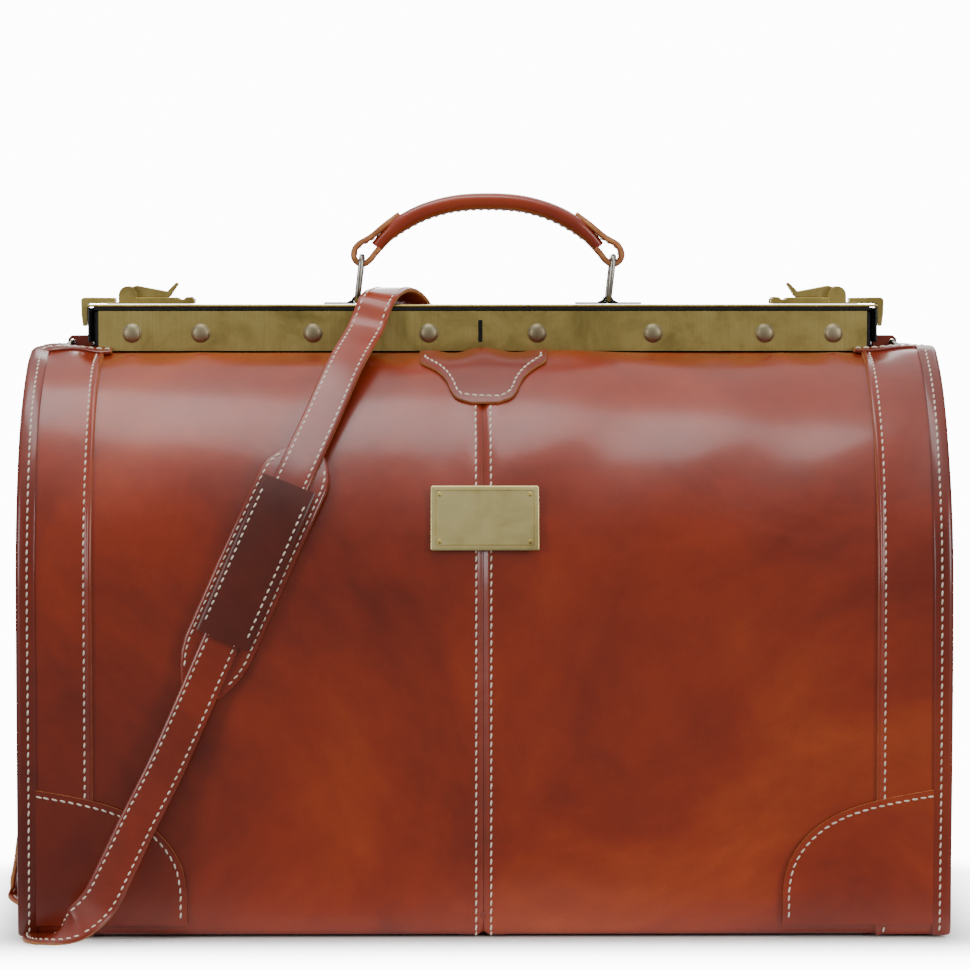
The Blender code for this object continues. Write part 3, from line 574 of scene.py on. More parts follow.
def profile_at(s):
    """Point and outward normal in (y, z) at distance s down the front wall."""
    if s <= 0:
        return PROFILE[0][1], PROFILE[0][2]
    low, high = 0, len(PROFILE) - 1
    while high - low > 1:
        middle = (low + high) // 2
        if PROFILE[middle][0] > s:
            high = middle
        else:
            low = middle
    a, b = PROFILE[low], PROFILE[high]
    share = min(1.0, (s - a[0]) / (b[0] - a[0]))
    return a[1].lerp(b[1], share), a[2].lerp(b[2], share).normalized()


def smoothstep(t):
    t = min(1.0, max(0.0, t))
    return t * t * (3 - 2 * t)


def wave(x, s, phase):
    """Softness of the hide: low waves over the wall and small puckers under the frame."""
    broad = 0.0016 * sin(x * 27 + phase) * sin(s * 21 + 1.3 * phase + x * 9)
    middle = 0.0009 * sin(x * 71 + 2.1 * phase + s * 46) * exp(-(((s - 0.08) / 0.07) ** 2))
    pucker = 0.0013 * exp(-(((s - 0.015) / 0.01) ** 2)) * sin(x * 128 + 2.6 * sin(x * 33 + phase))
    return (broad + middle + pucker) * smoothstep(s / 0.012) * (1 - smoothstep((s - FOOT_S + 0.05) / 0.045))


def wall(x, s, side=-1, lift=0.0):
    """Point on the leather's outer face; side is -1 at the front and 1 at the rear."""
    point, normal = profile_at(s)
    phase = 0.7 if side < 0 else 3.9
    up = EAR_RISE * smoothstep((abs(x) - EAR_START) / 0.02) * max(0.0, 1 - s / 0.06) ** 2
    out = wave(x, s, phase) + lift
    y = point.x + normal.x * out
    dip = 0.0006 * max(0.0, 1 - s / 0.02) ** 2 * (1 - smoothstep((abs(x) - 0.205) / 0.01))
    return Vector((x, -side * y, point.y + normal.y * out + up - dip))


def wall_normal(x, s, side=-1):
    e = 0.0006
    run = wall(x + e, s, side) - wall(x - e, s, side)
    fall = wall(x, s + e, side) - wall(x, max(s - e, 0), side)
    normal = run.cross(fall).normalized()
    plain_normal = profile_at(s)[1]
    return normal if normal.dot(Vector((0, -side * plain_normal.x, plain_normal.y))) > 0 else -normal


def on_wall(x, s, side=-1):
    return wall(x, s, side), wall_normal(x, s, side)


def fold_x(share, z):
    fall = smoothstep((z - FOLD_START_Z) / (HINGE.z - FOLD_START_Z))
    return END_X - (END_X - CREASE_X) * fall * max(0.0, 1 - share / 0.85)


def end_point(end, side, share, s):
    """Point on the outer face of an end panel; share is 0 at the crease and 1 at the wall."""
    edge = wall(end * END_X, s, side)
    z = edge.z
    if z > HINGE.z:
        z -= FOLD_DIP * (z - HINGE.z) / (EDGE_Z - HINGE.z) * (1 - share)
    puff = 0.001 * sin(pi * share) * sin(z * 60 + end)
    return Vector((end * (fold_x(share, edge.z) + puff * (1 - share)), edge.y * share, z))


def steps(low, high, size):
    count = max(1, round((high - low) / size))
    return [low + (high - low) * i / count for i in range(count + 1)]


# Slanting field between the body and a jaw, listed with each length of the strap; no piece is blended over it
FIELD_TOP = Vector((0, 0, 0.2976))
FIELD_RUN = Vector((0, 0.001865, 0.016456))


def with_jaw(obj):
    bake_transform(obj)
    return obj


# ---------------- leather panels


def ear_top(x):
    """Distance down the wall at which the leather starts, rounding off the ear's outer corner."""
    past = (abs(x) - (END_X - EAR_R)) / EAR_R
    return EAR_R * (1 - (1 - min(1.0, past) ** 2) ** 0.5) if past > 0 else 0.0


def wall_panels():
    """Two main panels at the front and two at the rear, each in one piece from the base to its jaw."""
    heights = steps(0.0, 0.05, 0.0025) + steps(0.05, WALL_LENGTH, 0.0055)[1:]
    heights += steps(WALL_LENGTH, FOOT_S + 0.02, 0.003)[1:]
    for side, face in FACES:
        for half, label in ENDS:
            columns = steps(0.0, 0.004, 0.001)
            columns += steps(0.004, STRIP_EDGE + PANEL_LAP - half * SEAM_X, 0.005)[1:]
            grid = []
            for s in heights:
                row = []
                for step in columns:
                    point, normal = on_wall(SEAM_X + half * (step + 0.00015), s, side)
                    groove = -0.0013 * exp(-((step / 0.0016) ** 2))
                    swell = 0.0005 * exp(-(((step - 0.0062) / 0.0035) ** 2))
                    row.append((point + normal * (groove + swell), normal))
                grid.append(row)
            panel = slab(f"panel_{face}_{label}", grid, -HIDE_T, 0.0)
            with_jaw(panel)
            nodes = [f"lower_front_{label}"] if side < 0 else (["lower_rear"] if half < 0 else [])
            if half < 0:
                nodes.append("upper_front" if side < 0 else "upper_rear")
            if nodes:
                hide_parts(*nodes)


def side_strips():
    """Strips over the ends of the walls, lapped over the main panels, with their seam."""
    columns = steps(STRIP_EDGE, 0.2137, 0.0006) + steps(0.2137, END_X - 0.0003, 0.0026)[1:]
    for side, face in FACES:
        for half, label in ENDS:
            grid = []
            for share in steps(0.0, 1.0, 0.0125):
                row = []
                for x in columns:
                    s = ear_top(x) + (TRIM_END + 0.001 - ear_top(x)) * share
                    point, normal = on_wall(half * x, s, side)
                    rib = 0.001 * exp(-(((x - 0.2103) / 0.0014) ** 2))
                    row.append((point + normal * rib, normal))
                grid.append(row)
            strip = slab(f"side_strip_{face}_{label}", grid, -0.0016, STRIP_LIFT, round_off=0.0003)
            with_jaw(strip)
            line = [on_wall(half * STRIP_SEAM, s, side) for s in steps(0.004, TRIM_END, 0.002)]
            with_jaw(stitches(f"strip_seam_{face}_{label}", line, STRIP_LIFT, *WALL_STITCH))


def end_normal(end, side, share, s):
    across = end_point(end, side, share + NEAR, s) - end_point(end, side, share - NEAR, s)
    down = end_point(end, side, share, s + NEAR) - end_point(end, side, share, max(0.0, s - NEAR))
    normal = across.cross(down)
    normal = normal.normalized() if normal.length > 1e-9 else Vector((end, 0, 0))
    return normal if normal.x * end > 0 else -normal


def end_panels():
    """Inward-folding ends in a front and a rear half that meet in the crease."""
    rows = steps(EAR_R * 0.55, FOOT_S, 0.006) + [FOOT_S + 0.008]
    shares = steps(0.0, 1.0, 0.05)
    for end, label in ENDS:
        for side, face in FACES:
            grid = [[(end_point(end, side, t, s), end_normal(end, side, t, s)) for t in shares] for s in rows]
            panel = slab(f"end_{label}_{face}", grid, -HIDE_T, 0.0)
            with_jaw(panel)
            if side < 0:
                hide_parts(f"end_panel_{label}")


# Section of an edge binding: distance off the wall's edge (outward positive) and off its face
BINDING = (
    (-0.0086, 0.001), (-0.0085, 0.0024), (-0.0078, 0.0028), (-0.001, 0.0029), (0.0006, 0.0024),
    (0.0015, 0.0014), (0.0017, 0.0), (0.0017, -0.006), (0.0015, -0.0068), (0.0003, -0.0068),
    (0.0003, 0.0), (-0.0006, 0.001),
)
BINDING_SEAM, BINDING_TOP = 0.0046, 0.0029


def binding_path(half):
    """(x, s, outward direction in x and s) along the ear's top, round its corner and down the end's edge."""
    path = [(half * x, 0.0, 0.0, -1.0) for x in steps(0.205, END_X - EAR_R, 0.0024)]
    for i in range(1, 9):
        a = radians(90 * i / 9)
        path.append((half * (END_X - EAR_R + EAR_R * sin(a)), EAR_R * (1 - cos(a)), half * sin(a), -cos(a)))
    path += [(half * END_X, s, half, 0.0) for s in steps(EAR_R, TRIM_END, 0.0045)]
    return path


def bindings():
    """Folded strips sewn over the end seams, with cream stitching."""
    for side, face in FACES:
        for half, label in ENDS:
            loops, line = [], []
            for x, s, ex, es in binding_path(half):
                corner, normal = on_wall(x, s, side)
                out = (corner - wall(x - ex * 0.0015, s - es * 0.0015, side)).normalized()
                loop = []
                for u, v in BINDING:
                    if u < 0:
                        base, off = on_wall(x + ex * u, s + es * u, side)
                        loop.append(base + off * v)
                    else:
                        loop.append(corner + out * u + normal * v)
                loops.append(loop)
                line.append(on_wall(x - ex * BINDING_SEAM, s - es * BINDING_SEAM, side))
            strip = lofted(f"edge_binding_{face}_{label}", loops, ("hide_dark", "edge"), sharp=50)
            with_jaw(strip)
            if side < 0:
                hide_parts(f"binding_{label}")
            seam = stitches(f"binding_seam_{face}_{label}", line, BINDING_TOP, *WALL_STITCH)
            with_jaw(seam)


# ---------------- patches and seams on the walls


def s_at_height(z):
    """Distance down the wall at which it reaches the given height."""
    for (s0, a, _), (s1, b, _) in zip(PROFILE, PROFILE[1:]):
        if b.y <= z <= a.y and a.y > b.y:
            return s0 + (s1 - s0) * (a.y - z) / (a.y - b.y)
    return 0.0


def patch(name, outline, side, base, thick, face_mat="hide", fine=0.0028):
    """A piece of hide cut to an (x, z) outline and laid on a wall."""
    build = bmesh.new()
    build.faces.new([build.verts.new((x, z, 0)) for x, z in outline])
    for axis in (0, 1):
        across = Vector((1 - axis, axis, 0))
        ends = [point[axis] for point in outline]
        for place in steps(min(ends), max(ends), fine)[1:-1]:
            geometry = list(build.verts) + list(build.edges) + list(build.faces)
            bmesh.ops.bisect_plane(build, geom=geometry, plane_co=across * place, plane_no=across)
    build.verts.index_update()
    spots = [on_wall(vert.co.x, s_at_height(vert.co.y), side) for vert in build.verts]
    faces = [[vert.index for vert in face.verts] for face in build.faces]
    rim = [[vert.index for vert in edge.verts] for edge in build.edges if edge.is_boundary]
    build.free()
    verts = [point + normal * (base + thick) for point, normal in spots]
    verts += [point + normal * base for point, normal in spots]
    count = len(spots)
    kinds = [0] * len(faces) + [2] * len(faces) + [1] * len(rim)
    faces += [[v + count for v in face[::-1]] for face in faces]
    faces += [[a, b, b + count, a + count] for a, b in rim]
    obj = solid(name, verts, faces, (face_mat, "edge", "hide_worn"), kinds, 40)
    soften(obj, 0.0004)
    return obj


def inset(outline, distance):
    """The closed (x, z) outline moved inwards."""
    points = [Vector(point) for point in outline]
    area = sum(a.x * b.y - b.x * a.y for a, b in zip(points, points[1:] + points[:1]))
    turn = 1 if area > 0 else -1
    moved = []
    for a, b, c in zip(points[-1:] + points[:-1], points, points[1:] + points[:1]):
        first, second = (b - a).normalized(), (c - b).normalized()
        n = (Vector((-first.y, first.x)) + Vector((-second.y, second.x))) * turn
        scale = 1 / max(0.5, n.length / 2)
        moved.append(b + n.normalized() * distance * scale)
    return moved


def wall_seam(name, flat, side, lift, pitch):
    """Stitches over (x, z) points on a wall."""
    line = [on_wall(p.x, s_at_height(p.y), side) for p in smooth(flat, 6)]
    return stitches(name, line, lift, pitch, *WALL_STITCH[1:])


PATCH_END, PATCH_TOP, PATCH_FOOT = 0.2392, 0.08, 0.0075
PATCH_EDGE = (
    (0.159, PATCH_FOOT), (0.1591, 0.016), (0.1593, 0.027), (0.162, 0.04), (0.17, 0.053),
    (0.183, 0.064), (0.2, 0.0715), (0.22, 0.0765), (PATCH_END, PATCH_TOP),
)
TONGUE_EDGE = (
    (0.0345, 0.3098), (0.0347, 0.308), (0.034, 0.305), (0.029, 0.3022), (0.024, 0.299),
    (0.02, 0.2945), (0.0178, 0.29), (0.0145, 0.2865), (0.0075, 0.2843),
)


def corner_patches():
    """Patches with an S-shaped inner edge on the four lower corners."""
    for side, face in FACES:
        for half, label in ENDS:
            curve = [(half * p.x, p.y) for p in smooth(PATCH_EDGE, 5)]
            outline = curve + [(half * PATCH_END, 0.045), (half * PATCH_END, PATCH_FOOT)]
            obj = patch(f"corner_{face}_{label}", outline, side, STRIP_LIFT, 0.0014)
            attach(obj, "bag_body")
            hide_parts(f"corner_patch_{face}_{label}")
            inner = inset(outline, 0.0032)[: len(curve)]
            flat = inner[::3] + inner[-1:]
            seam = wall_seam(f"corner_seam_{face}_{label}", flat, side, 0.0028, WALL_STITCH[0])
            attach(seam, "bag_body")


def tongue():
    """Patch under the middle of the front frame, over the top of the centre seam."""
    curve = [(p.x, p.y) for p in smooth(TONGUE_EDGE, 4)]
    outline = curve + [(-x, z) for x, z in curve[::-1]]
    obj = patch("tongue_patch", outline, -1, 0.0003, 0.0016, "hide_dark", 0.0022)
    with_jaw(obj)
    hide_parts("centre_patch")
    with_jaw(wall_seam("tongue_seam", inset(outline, 0.003)[2:-2:3], -1, 0.0019, 0.004))


def centre_seams():
    for side, face, top in ((-1, "front", 0.284), (1, "rear", 0.3105)):
        for x, label in ((-0.0047, "left"), (0.0033, "right")):
            line = [on_wall(x, s, side) for s in steps(s_at_height(top), FOOT_S, 0.002)]
            with_jaw(stitches(f"centre_seam_{face}_{label}", line, 0.0005, *WALL_STITCH))


# ---------------- shoulder strap

STRAP_T, STRAP_HALF, CREST_Z = 0.0026, 0.01, 0.33
STRAP_RING_Z = 0.29
STRAP_SEAM = 0.0074
PAD_HALF, PAD_TAPER, SLEEVE_HALF = 0.019, 0.13, 0.015
KNOT_STEPS = 8
STRAP_MATS = ("hide", "edge", "hide_worn")
PAD_SPAN = (0.1285, 0.263)
SLEEVE_SPAN = (0.156, 0.244)
STRAP_ROUTE = (
    ((-0.2445, 0, 0.298), (1, 0, 0.2)),
    ((-0.248, 0.001, 0.27), (1, 0, 0.1)),
    ((-0.251, 0.004, 0.22), (1, 0, 0)),
    ((-0.2525, 0.006, 0.15), (1, 0, 0)),
    ((-0.2555, 0.008, 0.08), (1, 0, 0)),
    ((-0.261, 0.009, 0.032), (1, 0, 0)),
    ((-0.2635, 0.009, 0.013), (1, 0, 0.3)),
    ((-0.259, 0.005, 0.0042), (0.2, 0, 1)),
    ((-0.249, -0.009, 0.0019), (0, 0, 1)),
    ((-0.24, -0.043, 0.0018), (0, 0, 1)),
    ((-0.2385, -0.085, 0.0018), (0, 0, 1)),
    ((-0.237, -0.12, 0.0018), (0, 0, 1)),
    ((-0.234, -0.14, 0.0024), (0, 0, 1)),
    ((-0.227, -0.151, 0.0058), (0, -0.3, 1)),
    ((-0.2145, -0.156, 0.0135), (0, -0.8, 0.6)),
    ((-0.2035, -0.151, 0.024), (0, -0.95, 0.3)),
    ((-0.1943, -0.1455, 0.042), (0, -1, 0.2)),
    ((-0.1834, -0.14, 0.065), (0, -1, 0.15)),
    ((-0.1675, -0.1345, 0.097), (0, -1, 0.1)),
    ((-0.142, -0.1323, 0.155), (0, -1, 0)),
    ((-0.1245, -0.1318, 0.195), (0, -1, 0.08)),
    ((-0.106, -0.1255, 0.237), (0, -0.95, 0.3)),
    ((-0.089, -0.1, 0.274), (0, -0.8, 0.6)),
    ((-0.075, -0.068, 0.306), (0, -0.65, 0.75)),
    ((-0.065, -0.037, 0.324), (0, -0.7, 0.7)),
    ((-0.059, -0.0268, 0.3392), (0, -0.6, 0.8)),
    ((-0.0535, -0.01, 0.3448), (0, -0.2, 1)),
    ((-0.047, 0.01, 0.3448), (0, 0.2, 1)),
    ((-0.04, 0.026, 0.338), (0, 0.6, 0.8)),
    ((-0.031, 0.04, 0.324), (0, 0.7, 0.7)),
    ((-0.012, 0.07, 0.306), (0, 0.65, 0.75)),
    ((0.015, 0.099, 0.276), (0, 0.8, 0.6)),
    ((0.05, 0.123, 0.243), (0, 0.95, 0.3)),
    ((0.095, 0.131, 0.217), (0, 1, 0.05)),
    ((0.145, 0.1315, 0.205), (0, 1, 0)),
    ((0.195, 0.1315, 0.208), (0, 1, 0)),
    ((0.233, 0.1335, 0.218), (0.2, 1, 0)),
    ((0.2585, 0.1215, 0.229), (0.8, 0.6, 0)),
    ((0.261, 0.085, 0.24), (1, 0.1, 0)),
    ((0.2575, 0.047, 0.248), (1, 0, 0)),
    ((0.2525, 0.016, 0.258), (1, 0, 0)),
    ((0.2475, 0.002, 0.275), (1, 0, 0.1)),
    ((0.2445, 0, 0.298), (1, 0, 0.2)),
)


def strap_frames():
    """Places along the strap, with the directions across it and out of its grain side."""
    points = smooth([place for place, _ in STRAP_ROUTE], KNOT_STEPS)
    faces = [Vector(face).normalized() for _, face in STRAP_ROUTE]
    frames = []
    for i, point in enumerate(points):
        knot, share = divmod(i / KNOT_STEPS, 1)
        face = faces[int(knot)].lerp(faces[min(int(knot) + 1, len(faces) - 1)], share)
        along = direction(points, i)
        across = along.cross(face).normalized()
        frames.append((point, across, across.cross(along).normalized()))
    return frames


def band(name, frames, half, low, high, mats, round_off=0.0007, crown=0.0):
    """A flat strip with rounded edges along the frames; half gives the half width at each share."""
    loops = []
    r = min(round_off, (high - low) / 2)
    for i, (place, across, out) in enumerate(frames):
        w = half(i / (len(frames) - 1))
        section = (
            (-w, low + r), (-w, high - r), (-w + r * 0.6, high - r * 0.25), (-w + 0.002, high + crown * 0.5),
            (0, high + crown), (w - 0.002, high + crown * 0.5), (w - r * 0.6, high - r * 0.25),
            (w, high - r), (w, low + r), (w - r, low), (-w + r, low),
        )
        loops.append([place + across * u + out * v for u, v in section])
    return lofted(name, loops, mats, [1, 0, 0, 0, 0, 0, 0, 1, 1, 0, 1], 50)


def strap_sections():
    """Name, first and last knot and blend of each length of the strap, from the left ring to the right."""
    crest = Vector((0, 0, CREST_Z))
    mirrored = Vector((0, -FIELD_RUN.y, FIELD_RUN.z))
    front = ("bag_body", "front_jaw", FIELD_TOP, FIELD_TOP + mirrored)
    over_front = ("bag_body", "front_jaw", crest, Vector((0, -0.0262, CREST_Z)))
    over_rear = ("bag_body", "rear_jaw", crest, Vector((0, 0.0262, CREST_Z)))
    rear = ("bag_body", "rear_jaw", FIELD_TOP, FIELD_TOP + FIELD_RUN)
    ring = ("bag_body", "rear_jaw", Vector((0, 0, HINGE.z)), Vector((0, 0, STRAP_RING_Z)))
    return (
        ("strap_left_end", 0, 14, ring),
        ("strap_front", 14, 25, front),
        ("strap_over_front", 25, None, over_front),
        ("strap_over_rear", None, 28, over_rear),
        ("strap_rear", 28, 35, rear),
        ("strap_right_end", 35, 42, ring),
    )


def strap_seam(name, line, lift):
    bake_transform(stitches(name, line, lift, *STRAP_STITCH))


def strap(frames):
    """The strap itself, in lengths, each with a seam along both edges."""
    top = STRAP_T / 2
    middle = range(25 * KNOT_STEPS, 28 * KNOT_STEPS)
    crest = min(middle, key=lambda i: abs(frames[i][0].y))
    for name, first, last, field in strap_sections():
        a = crest if first is None else first * KNOT_STEPS
        b = crest if last is None else last * KNOT_STEPS
        part = frames[a : b + 1]
        piece = band(name, part, lambda share: STRAP_HALF, -top, top, STRAP_MATS, crown=0.00025)
        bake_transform(piece)
        for across, label in ((-STRAP_SEAM, "a"), (STRAP_SEAM, "b")):
            line = [(place + side * across, out) for place, side, out in part]
            strap_seam(f"{name}_seam_{label}", line, top + 0.0001)
    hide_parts("shoulder_strap")


def pad_half(share):
    """Half width of the pad, narrowing to its ends."""
    return PAD_HALF * (1 - max(0.0, 1 - min(share, 1 - share) / PAD_TAPER) ** 2 * 0.42)


def pad_and_sleeve(frames):
    """Shoulder pad under the strap, and the sleeve wrapped round both."""
    top = STRAP_T / 2
    front = frames[16 * KNOT_STEPS : 24 * KNOT_STEPS]
    pad = [frame for frame in front if PAD_SPAN[0] < frame[0].z < PAD_SPAN[1]]
    sleeve = [frame for frame in front if SLEEVE_SPAN[0] < frame[0].z < SLEEVE_SPAN[1]]
    piece = band("shoulder_pad", pad, pad_half, -top - 0.0034, -top - 0.0004, STRAP_MATS, 0.001)
    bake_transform(piece)
    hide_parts("strap_pad")
    for sign, label in ((-1, "a"), (1, "b")):
        line = []
        for i, (place, side, out) in enumerate(pad):
            line.append((place + side * (sign * (pad_half(i / (len(pad) - 1)) - 0.0028)), out))
        strap_seam(f"pad_seam_{label}", line[1:-1], -top - 0.0003)
    mats = ("hide_worn", "edge", "hide_worn")
    low, high = top + 0.0004, top + 0.0022
    piece = band("pad_sleeve_wrap", sleeve, lambda share: SLEEVE_HALF, low, high, mats, 0.0006, 0.0003)
    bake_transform(piece)
    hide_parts("pad_sleeve")
    for sign, label in ((-1, "a"), (1, "b")):
        line = [(place + side * (sign * 0.0122), out) for place, side, out in sleeve]
        strap_seam(f"sleeve_seam_{label}", line[1:-1], top + 0.0024)


# ---------------- frame, fittings and hardware

FINISH = {
    "front_strip": "brass", "rear_strip": "brass", "top_cap": "brass_flat",
    "front_rail": "black_steel", "rear_rail": "black_steel", "lock_case": "black_steel", "lock_bolt": "steel",
}
for sided, mat_name in (
    ("latch_base", "brass_flat"), ("latch_lever", "brass_flat"), ("latch_hook", "brass_flat"),
    ("handle_plate", "gunmetal"), ("strap_ring", "nickel"), ("hinge_pin", "steel"),
):
    for _, end_name in ENDS:
        FINISH[f"{sided}_{end_name}"] = mat_name

LEVER_HALF, HOOK_HALF, BARREL_R = 0.0052, 0.007, 0.0038
LEVER_NOSE = ((0.1694, 0.3491), (0.1706, 0.35), (0.1757, 0.3449), (0.193, 0.3482))
LEVER_UNDER = ((0.1925, 0.3413), (0.1752, 0.3414), (0.1738, 0.3424))
HOOK = (
    (0.2045, 0.3381), (0.2045, 0.3413), (0.2222, 0.3415), (0.2236, 0.3404), (0.2234, 0.332),
    (0.2226, 0.3256), (0.2208, 0.3254), (0.2199, 0.3276), (0.2196, 0.3381),
)
FLANGE = (
    (0.1605, 0.3379), (0.1603, 0.3403), (0.1622, 0.3419), (0.165, 0.3417), (0.1664, 0.3404),
    (0.1683, 0.3403), (0.17, 0.3415), (0.193, 0.3414), (0.193, 0.3379),
)
# Painted shade: extent of the black plate that darkens the frame's joints where only shade would be
SHADE_PLATE_X, SHADE_PLATE_LOW, SHADE_PLATE_HIGH = 0.2188, 0.3098, 0.3366
END_PLATE = ((0.2173, 0.3168), (0.2173, 0.3358), (0.2188, 0.3358), (0.2188, 0.3168))


def refined(node, mat, body, width, sharp=30):
    """The CAD part itself with softened edges, riding its body."""
    source = NODES[node]
    build = bmesh.new()
    build.from_mesh(source.data)
    build.transform(source.matrix_world)
    bmesh.ops.remove_doubles(build, verts=build.verts, dist=0.00001)
    bmesh.ops.dissolve_limit(build, angle_limit=radians(1.0), verts=build.verts, edges=build.edges)
    bmesh.ops.recalc_face_normals(build, faces=build.faces)
    mesh = bpy.data.meshes.new(f"{node}_soft")
    build.to_mesh(mesh)
    build.free()
    obj = shown(f"{node}_soft", mesh, (mat,), sharp)
    soften(obj, width, 38, True)
    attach(obj, body)
    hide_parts(node)


def jaw_hardware():
    for node in ("front_strip", "front_rail"):
        refined(node, FINISH[node], "front_jaw", 0.00035)
    for node in ("rear_strip", "rear_rail", "top_cap", "latch_base_left", "latch_base_right"):
        refined(node, FINISH[node], "rear_jaw", 0.00025)
    for node in ("handle_plate_left", "handle_plate_right"):
        refined(node, FINISH[node], "rear_jaw", 0.0002)


def prism(name, outline, side, span, mat, body, width=0.0005):
    """A flat bar with an (|x|, z) outline, between two depths, with softened edges."""
    loops = [[Vector((side * x, y, z)) for x, z in outline] for y in span]
    obj = lofted(name, loops, (mat,), sharp=30)
    soften(obj, width, 32, True)
    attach(obj, body)
    return obj


def frame_shade_plate():
    """Black plate inside the rear half of the frame that closes its joints against the light: painted shade, a
    dark sheet standing for the dark inside of the closed frame.
    """
    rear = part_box("rear_rail")[1].y
    plate = [(-SHADE_PLATE_X, SHADE_PLATE_LOW), (-SHADE_PLATE_X, SHADE_PLATE_HIGH), (SHADE_PLATE_X, SHADE_PLATE_HIGH), (SHADE_PLATE_X, SHADE_PLATE_LOW)]
    prism("frame_shade_plate", plate, 1, (rear - 0.0002, rear + 0.0006), "black_steel", "rear_jaw", 0.0001)


def latches():
    """Lever, hook and the side flanges of the bed of each end latch."""
    axis = Vector(JOINTS["latch_right"]["pos_m"])
    turns = [radians(a) for a in range(105, -126, -15)]
    barrel = [(axis.x + BARREL_R * cos(a), axis.z + BARREL_R * sin(a)) for a in turns]
    lever = [*LEVER_NOSE, *barrel, *LEVER_UNDER]
    for side, label in ENDS:
        span = (-LEVER_HALF, LEVER_HALF)
        obj = prism(f"lever_{label}_soft", lever, side, span, "brass_flat", f"lever_{label}")
        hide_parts(f"latch_lever_{label}")
        obj = prism(f"hook_{label}_soft", HOOK, side, (-HOOK_HALF, HOOK_HALF), "brass_flat", f"hook_{label}")
        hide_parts(f"latch_hook_{label}")
        for y, end in ((-0.009, "front"), (0.0056, "rear")):
            name = f"latch_flange_{label}_{end}"
            prism(name, FLANGE, side, (y, y + 0.0034), "brass_flat", "rear_jaw", 0.0004)
        prism(f"frame_end_{label}", END_PLATE, side, (-0.019, 0.0215), "black_steel", "rear_jaw")


def dome(name, centre, out, radius, height, mat, body):
    """A domed rivet head with a fine rolled rim."""
    out = out.normalized()
    side = out.orthogonal().normalized()
    up = out.cross(side)
    rim = ((1.0, 0.0), (1.0, 0.1), (0.96, 0.22), (0.9, 0.26))
    section = [(radius * share, height * rise) for share, rise in rim]
    for degrees in (6, 18, 32, 46, 60, 74, 84):
        a = radians(degrees)
        section.append((radius * 0.88 * cos(a), height * (0.28 + 0.72 * sin(a))))
    ring = [2 * pi * k / 28 for k in range(28)]
    loops = [[centre + (side * cos(a) + up * sin(a)) * r + out * h for a in ring] for r, h in section]
    obj = lofted(name, loops, (mat,), sharp=50)
    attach(obj, body)
    return obj


def rivets():
    """Heads of the eight frame rivets at the front, and the same eight at the rear."""
    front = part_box("front_strip")[0].y
    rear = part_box("rear_strip")[1].y
    for i in range(1, 9):
        low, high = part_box(f"front_rivet_{i}")
        centre = (low + high) / 2
        radius = (high.z - low.z) / 2
        spot = Vector((centre.x, front + 0.0002, centre.z))
        tall = (front - low.y) * 0.85
        wide = radius * 1.06
        obj = dome(f"rivet_front_{i}", spot, Vector((0, -1, 0)), wide, tall, "brass_dark", "front_jaw")
        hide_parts(f"front_rivet_{i}")
        spot = Vector((centre.x, rear - 0.0002, centre.z))
        dome(f"rivet_rear_{i}", spot, Vector((0, 1, 0)), radius, 0.0018, "brass_dark", "rear_jaw")


def plate_frame():
    """Centre, upward and outward directions of the name plate's face."""
    low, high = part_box("name_plate")
    mid = (low + high) / 2
    normal = profile_at(s_at_height(mid.z))[1]
    out = Vector((0, normal.x, normal.y)).normalized()
    up = out.cross(Vector((1, 0, 0))).normalized()
    return mid, up if up.z > 0 else -up, out


PLATE_W, PLATE_H, PLATE_R, PLATE_T = 0.0288, 0.0176, 0.001, 0.0006
GROOVE, PIN_INSET = 0.0027, 0.0047
QUADRANTS = ((1, 1), (-1, 1), (-1, -1), (1, -1))


def name_plate():
    """Blank plate with a thin engraved border and a pin in each corner."""
    mid, up, out = plate_frame()

    def at(u, v, w):
        return mid + Vector((1, 0, 0)) * u + up * v + out * w

    def ring(inward, depth):
        w, h = PLATE_W - inward, PLATE_H - inward
        corner = []
        for i, (sx, sz) in enumerate(QUADRANTS):
            for k in range(4):
                a = radians(90 * i + 30 * k)
                u = sx * (w - PLATE_R) + cos(a) * PLATE_R
                corner.append(at(u, sz * (h - PLATE_R) + sin(a) * PLATE_R, depth))
        return corner

    t = PLATE_T
    steps_in = (
        (0.0004, -t), (0.0, -t * 0.4), (0.0, t * 0.5), (0.0003, t * 0.9), (0.0006, t), (GROOVE - 0.0003, t),
        (GROOVE - 0.0001, t - 0.0003), (GROOVE + 0.0001, t - 0.0003), (GROOVE + 0.0003, t),
        (GROOVE + 0.004, t),
    )
    obj = lofted("blank_plate", [ring(*step) for step in steps_in], ("plate",), sharp=25)
    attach(obj, "bag_body")
    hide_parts("name_plate")
    for i, (sx, sz) in enumerate(QUADRANTS):
        centre = at(sx * (PLATE_W - PIN_INSET), sz * (PLATE_H - PIN_INSET), t - 0.0001)
        dome(f"plate_pin_{i + 1}", centre, out, 0.0013, 0.0006, "brass_flat", "bag_body")


def rings():
    """Wire rings of the handle."""
    for _, label in ENDS:
        refined(f"handle_ring_{label}", "nickel", f"ring_{label}", 0.0001, 60)


def dress_cad():
    """Procedural finish on every CAD part that stays in view, and on those another piece stands for."""
    by_slot = {
        "leather": "hide", "leather_dark": "hide_dark", "lining": "cotton", "board": "board",
        "brass": "brass_flat", "brass_dark": "brass_dark", "steel_black": "black_steel", "steel": "steel",
        "wire": "nickel",
    }
    for name, node in NODES.items():
        old = node.data.materials[0].name if node.data.materials else ""
        key = FINISH.get(name) or by_slot.get(old.split(".")[0], "hide_dark")
        for i in range(max(1, len(node.data.materials))):
            if i < len(node.data.materials):
                node.data.materials[i] = MATERIALS[key]
            else:
                node.data.materials.append(MATERIALS[key])


# ---------------- handle

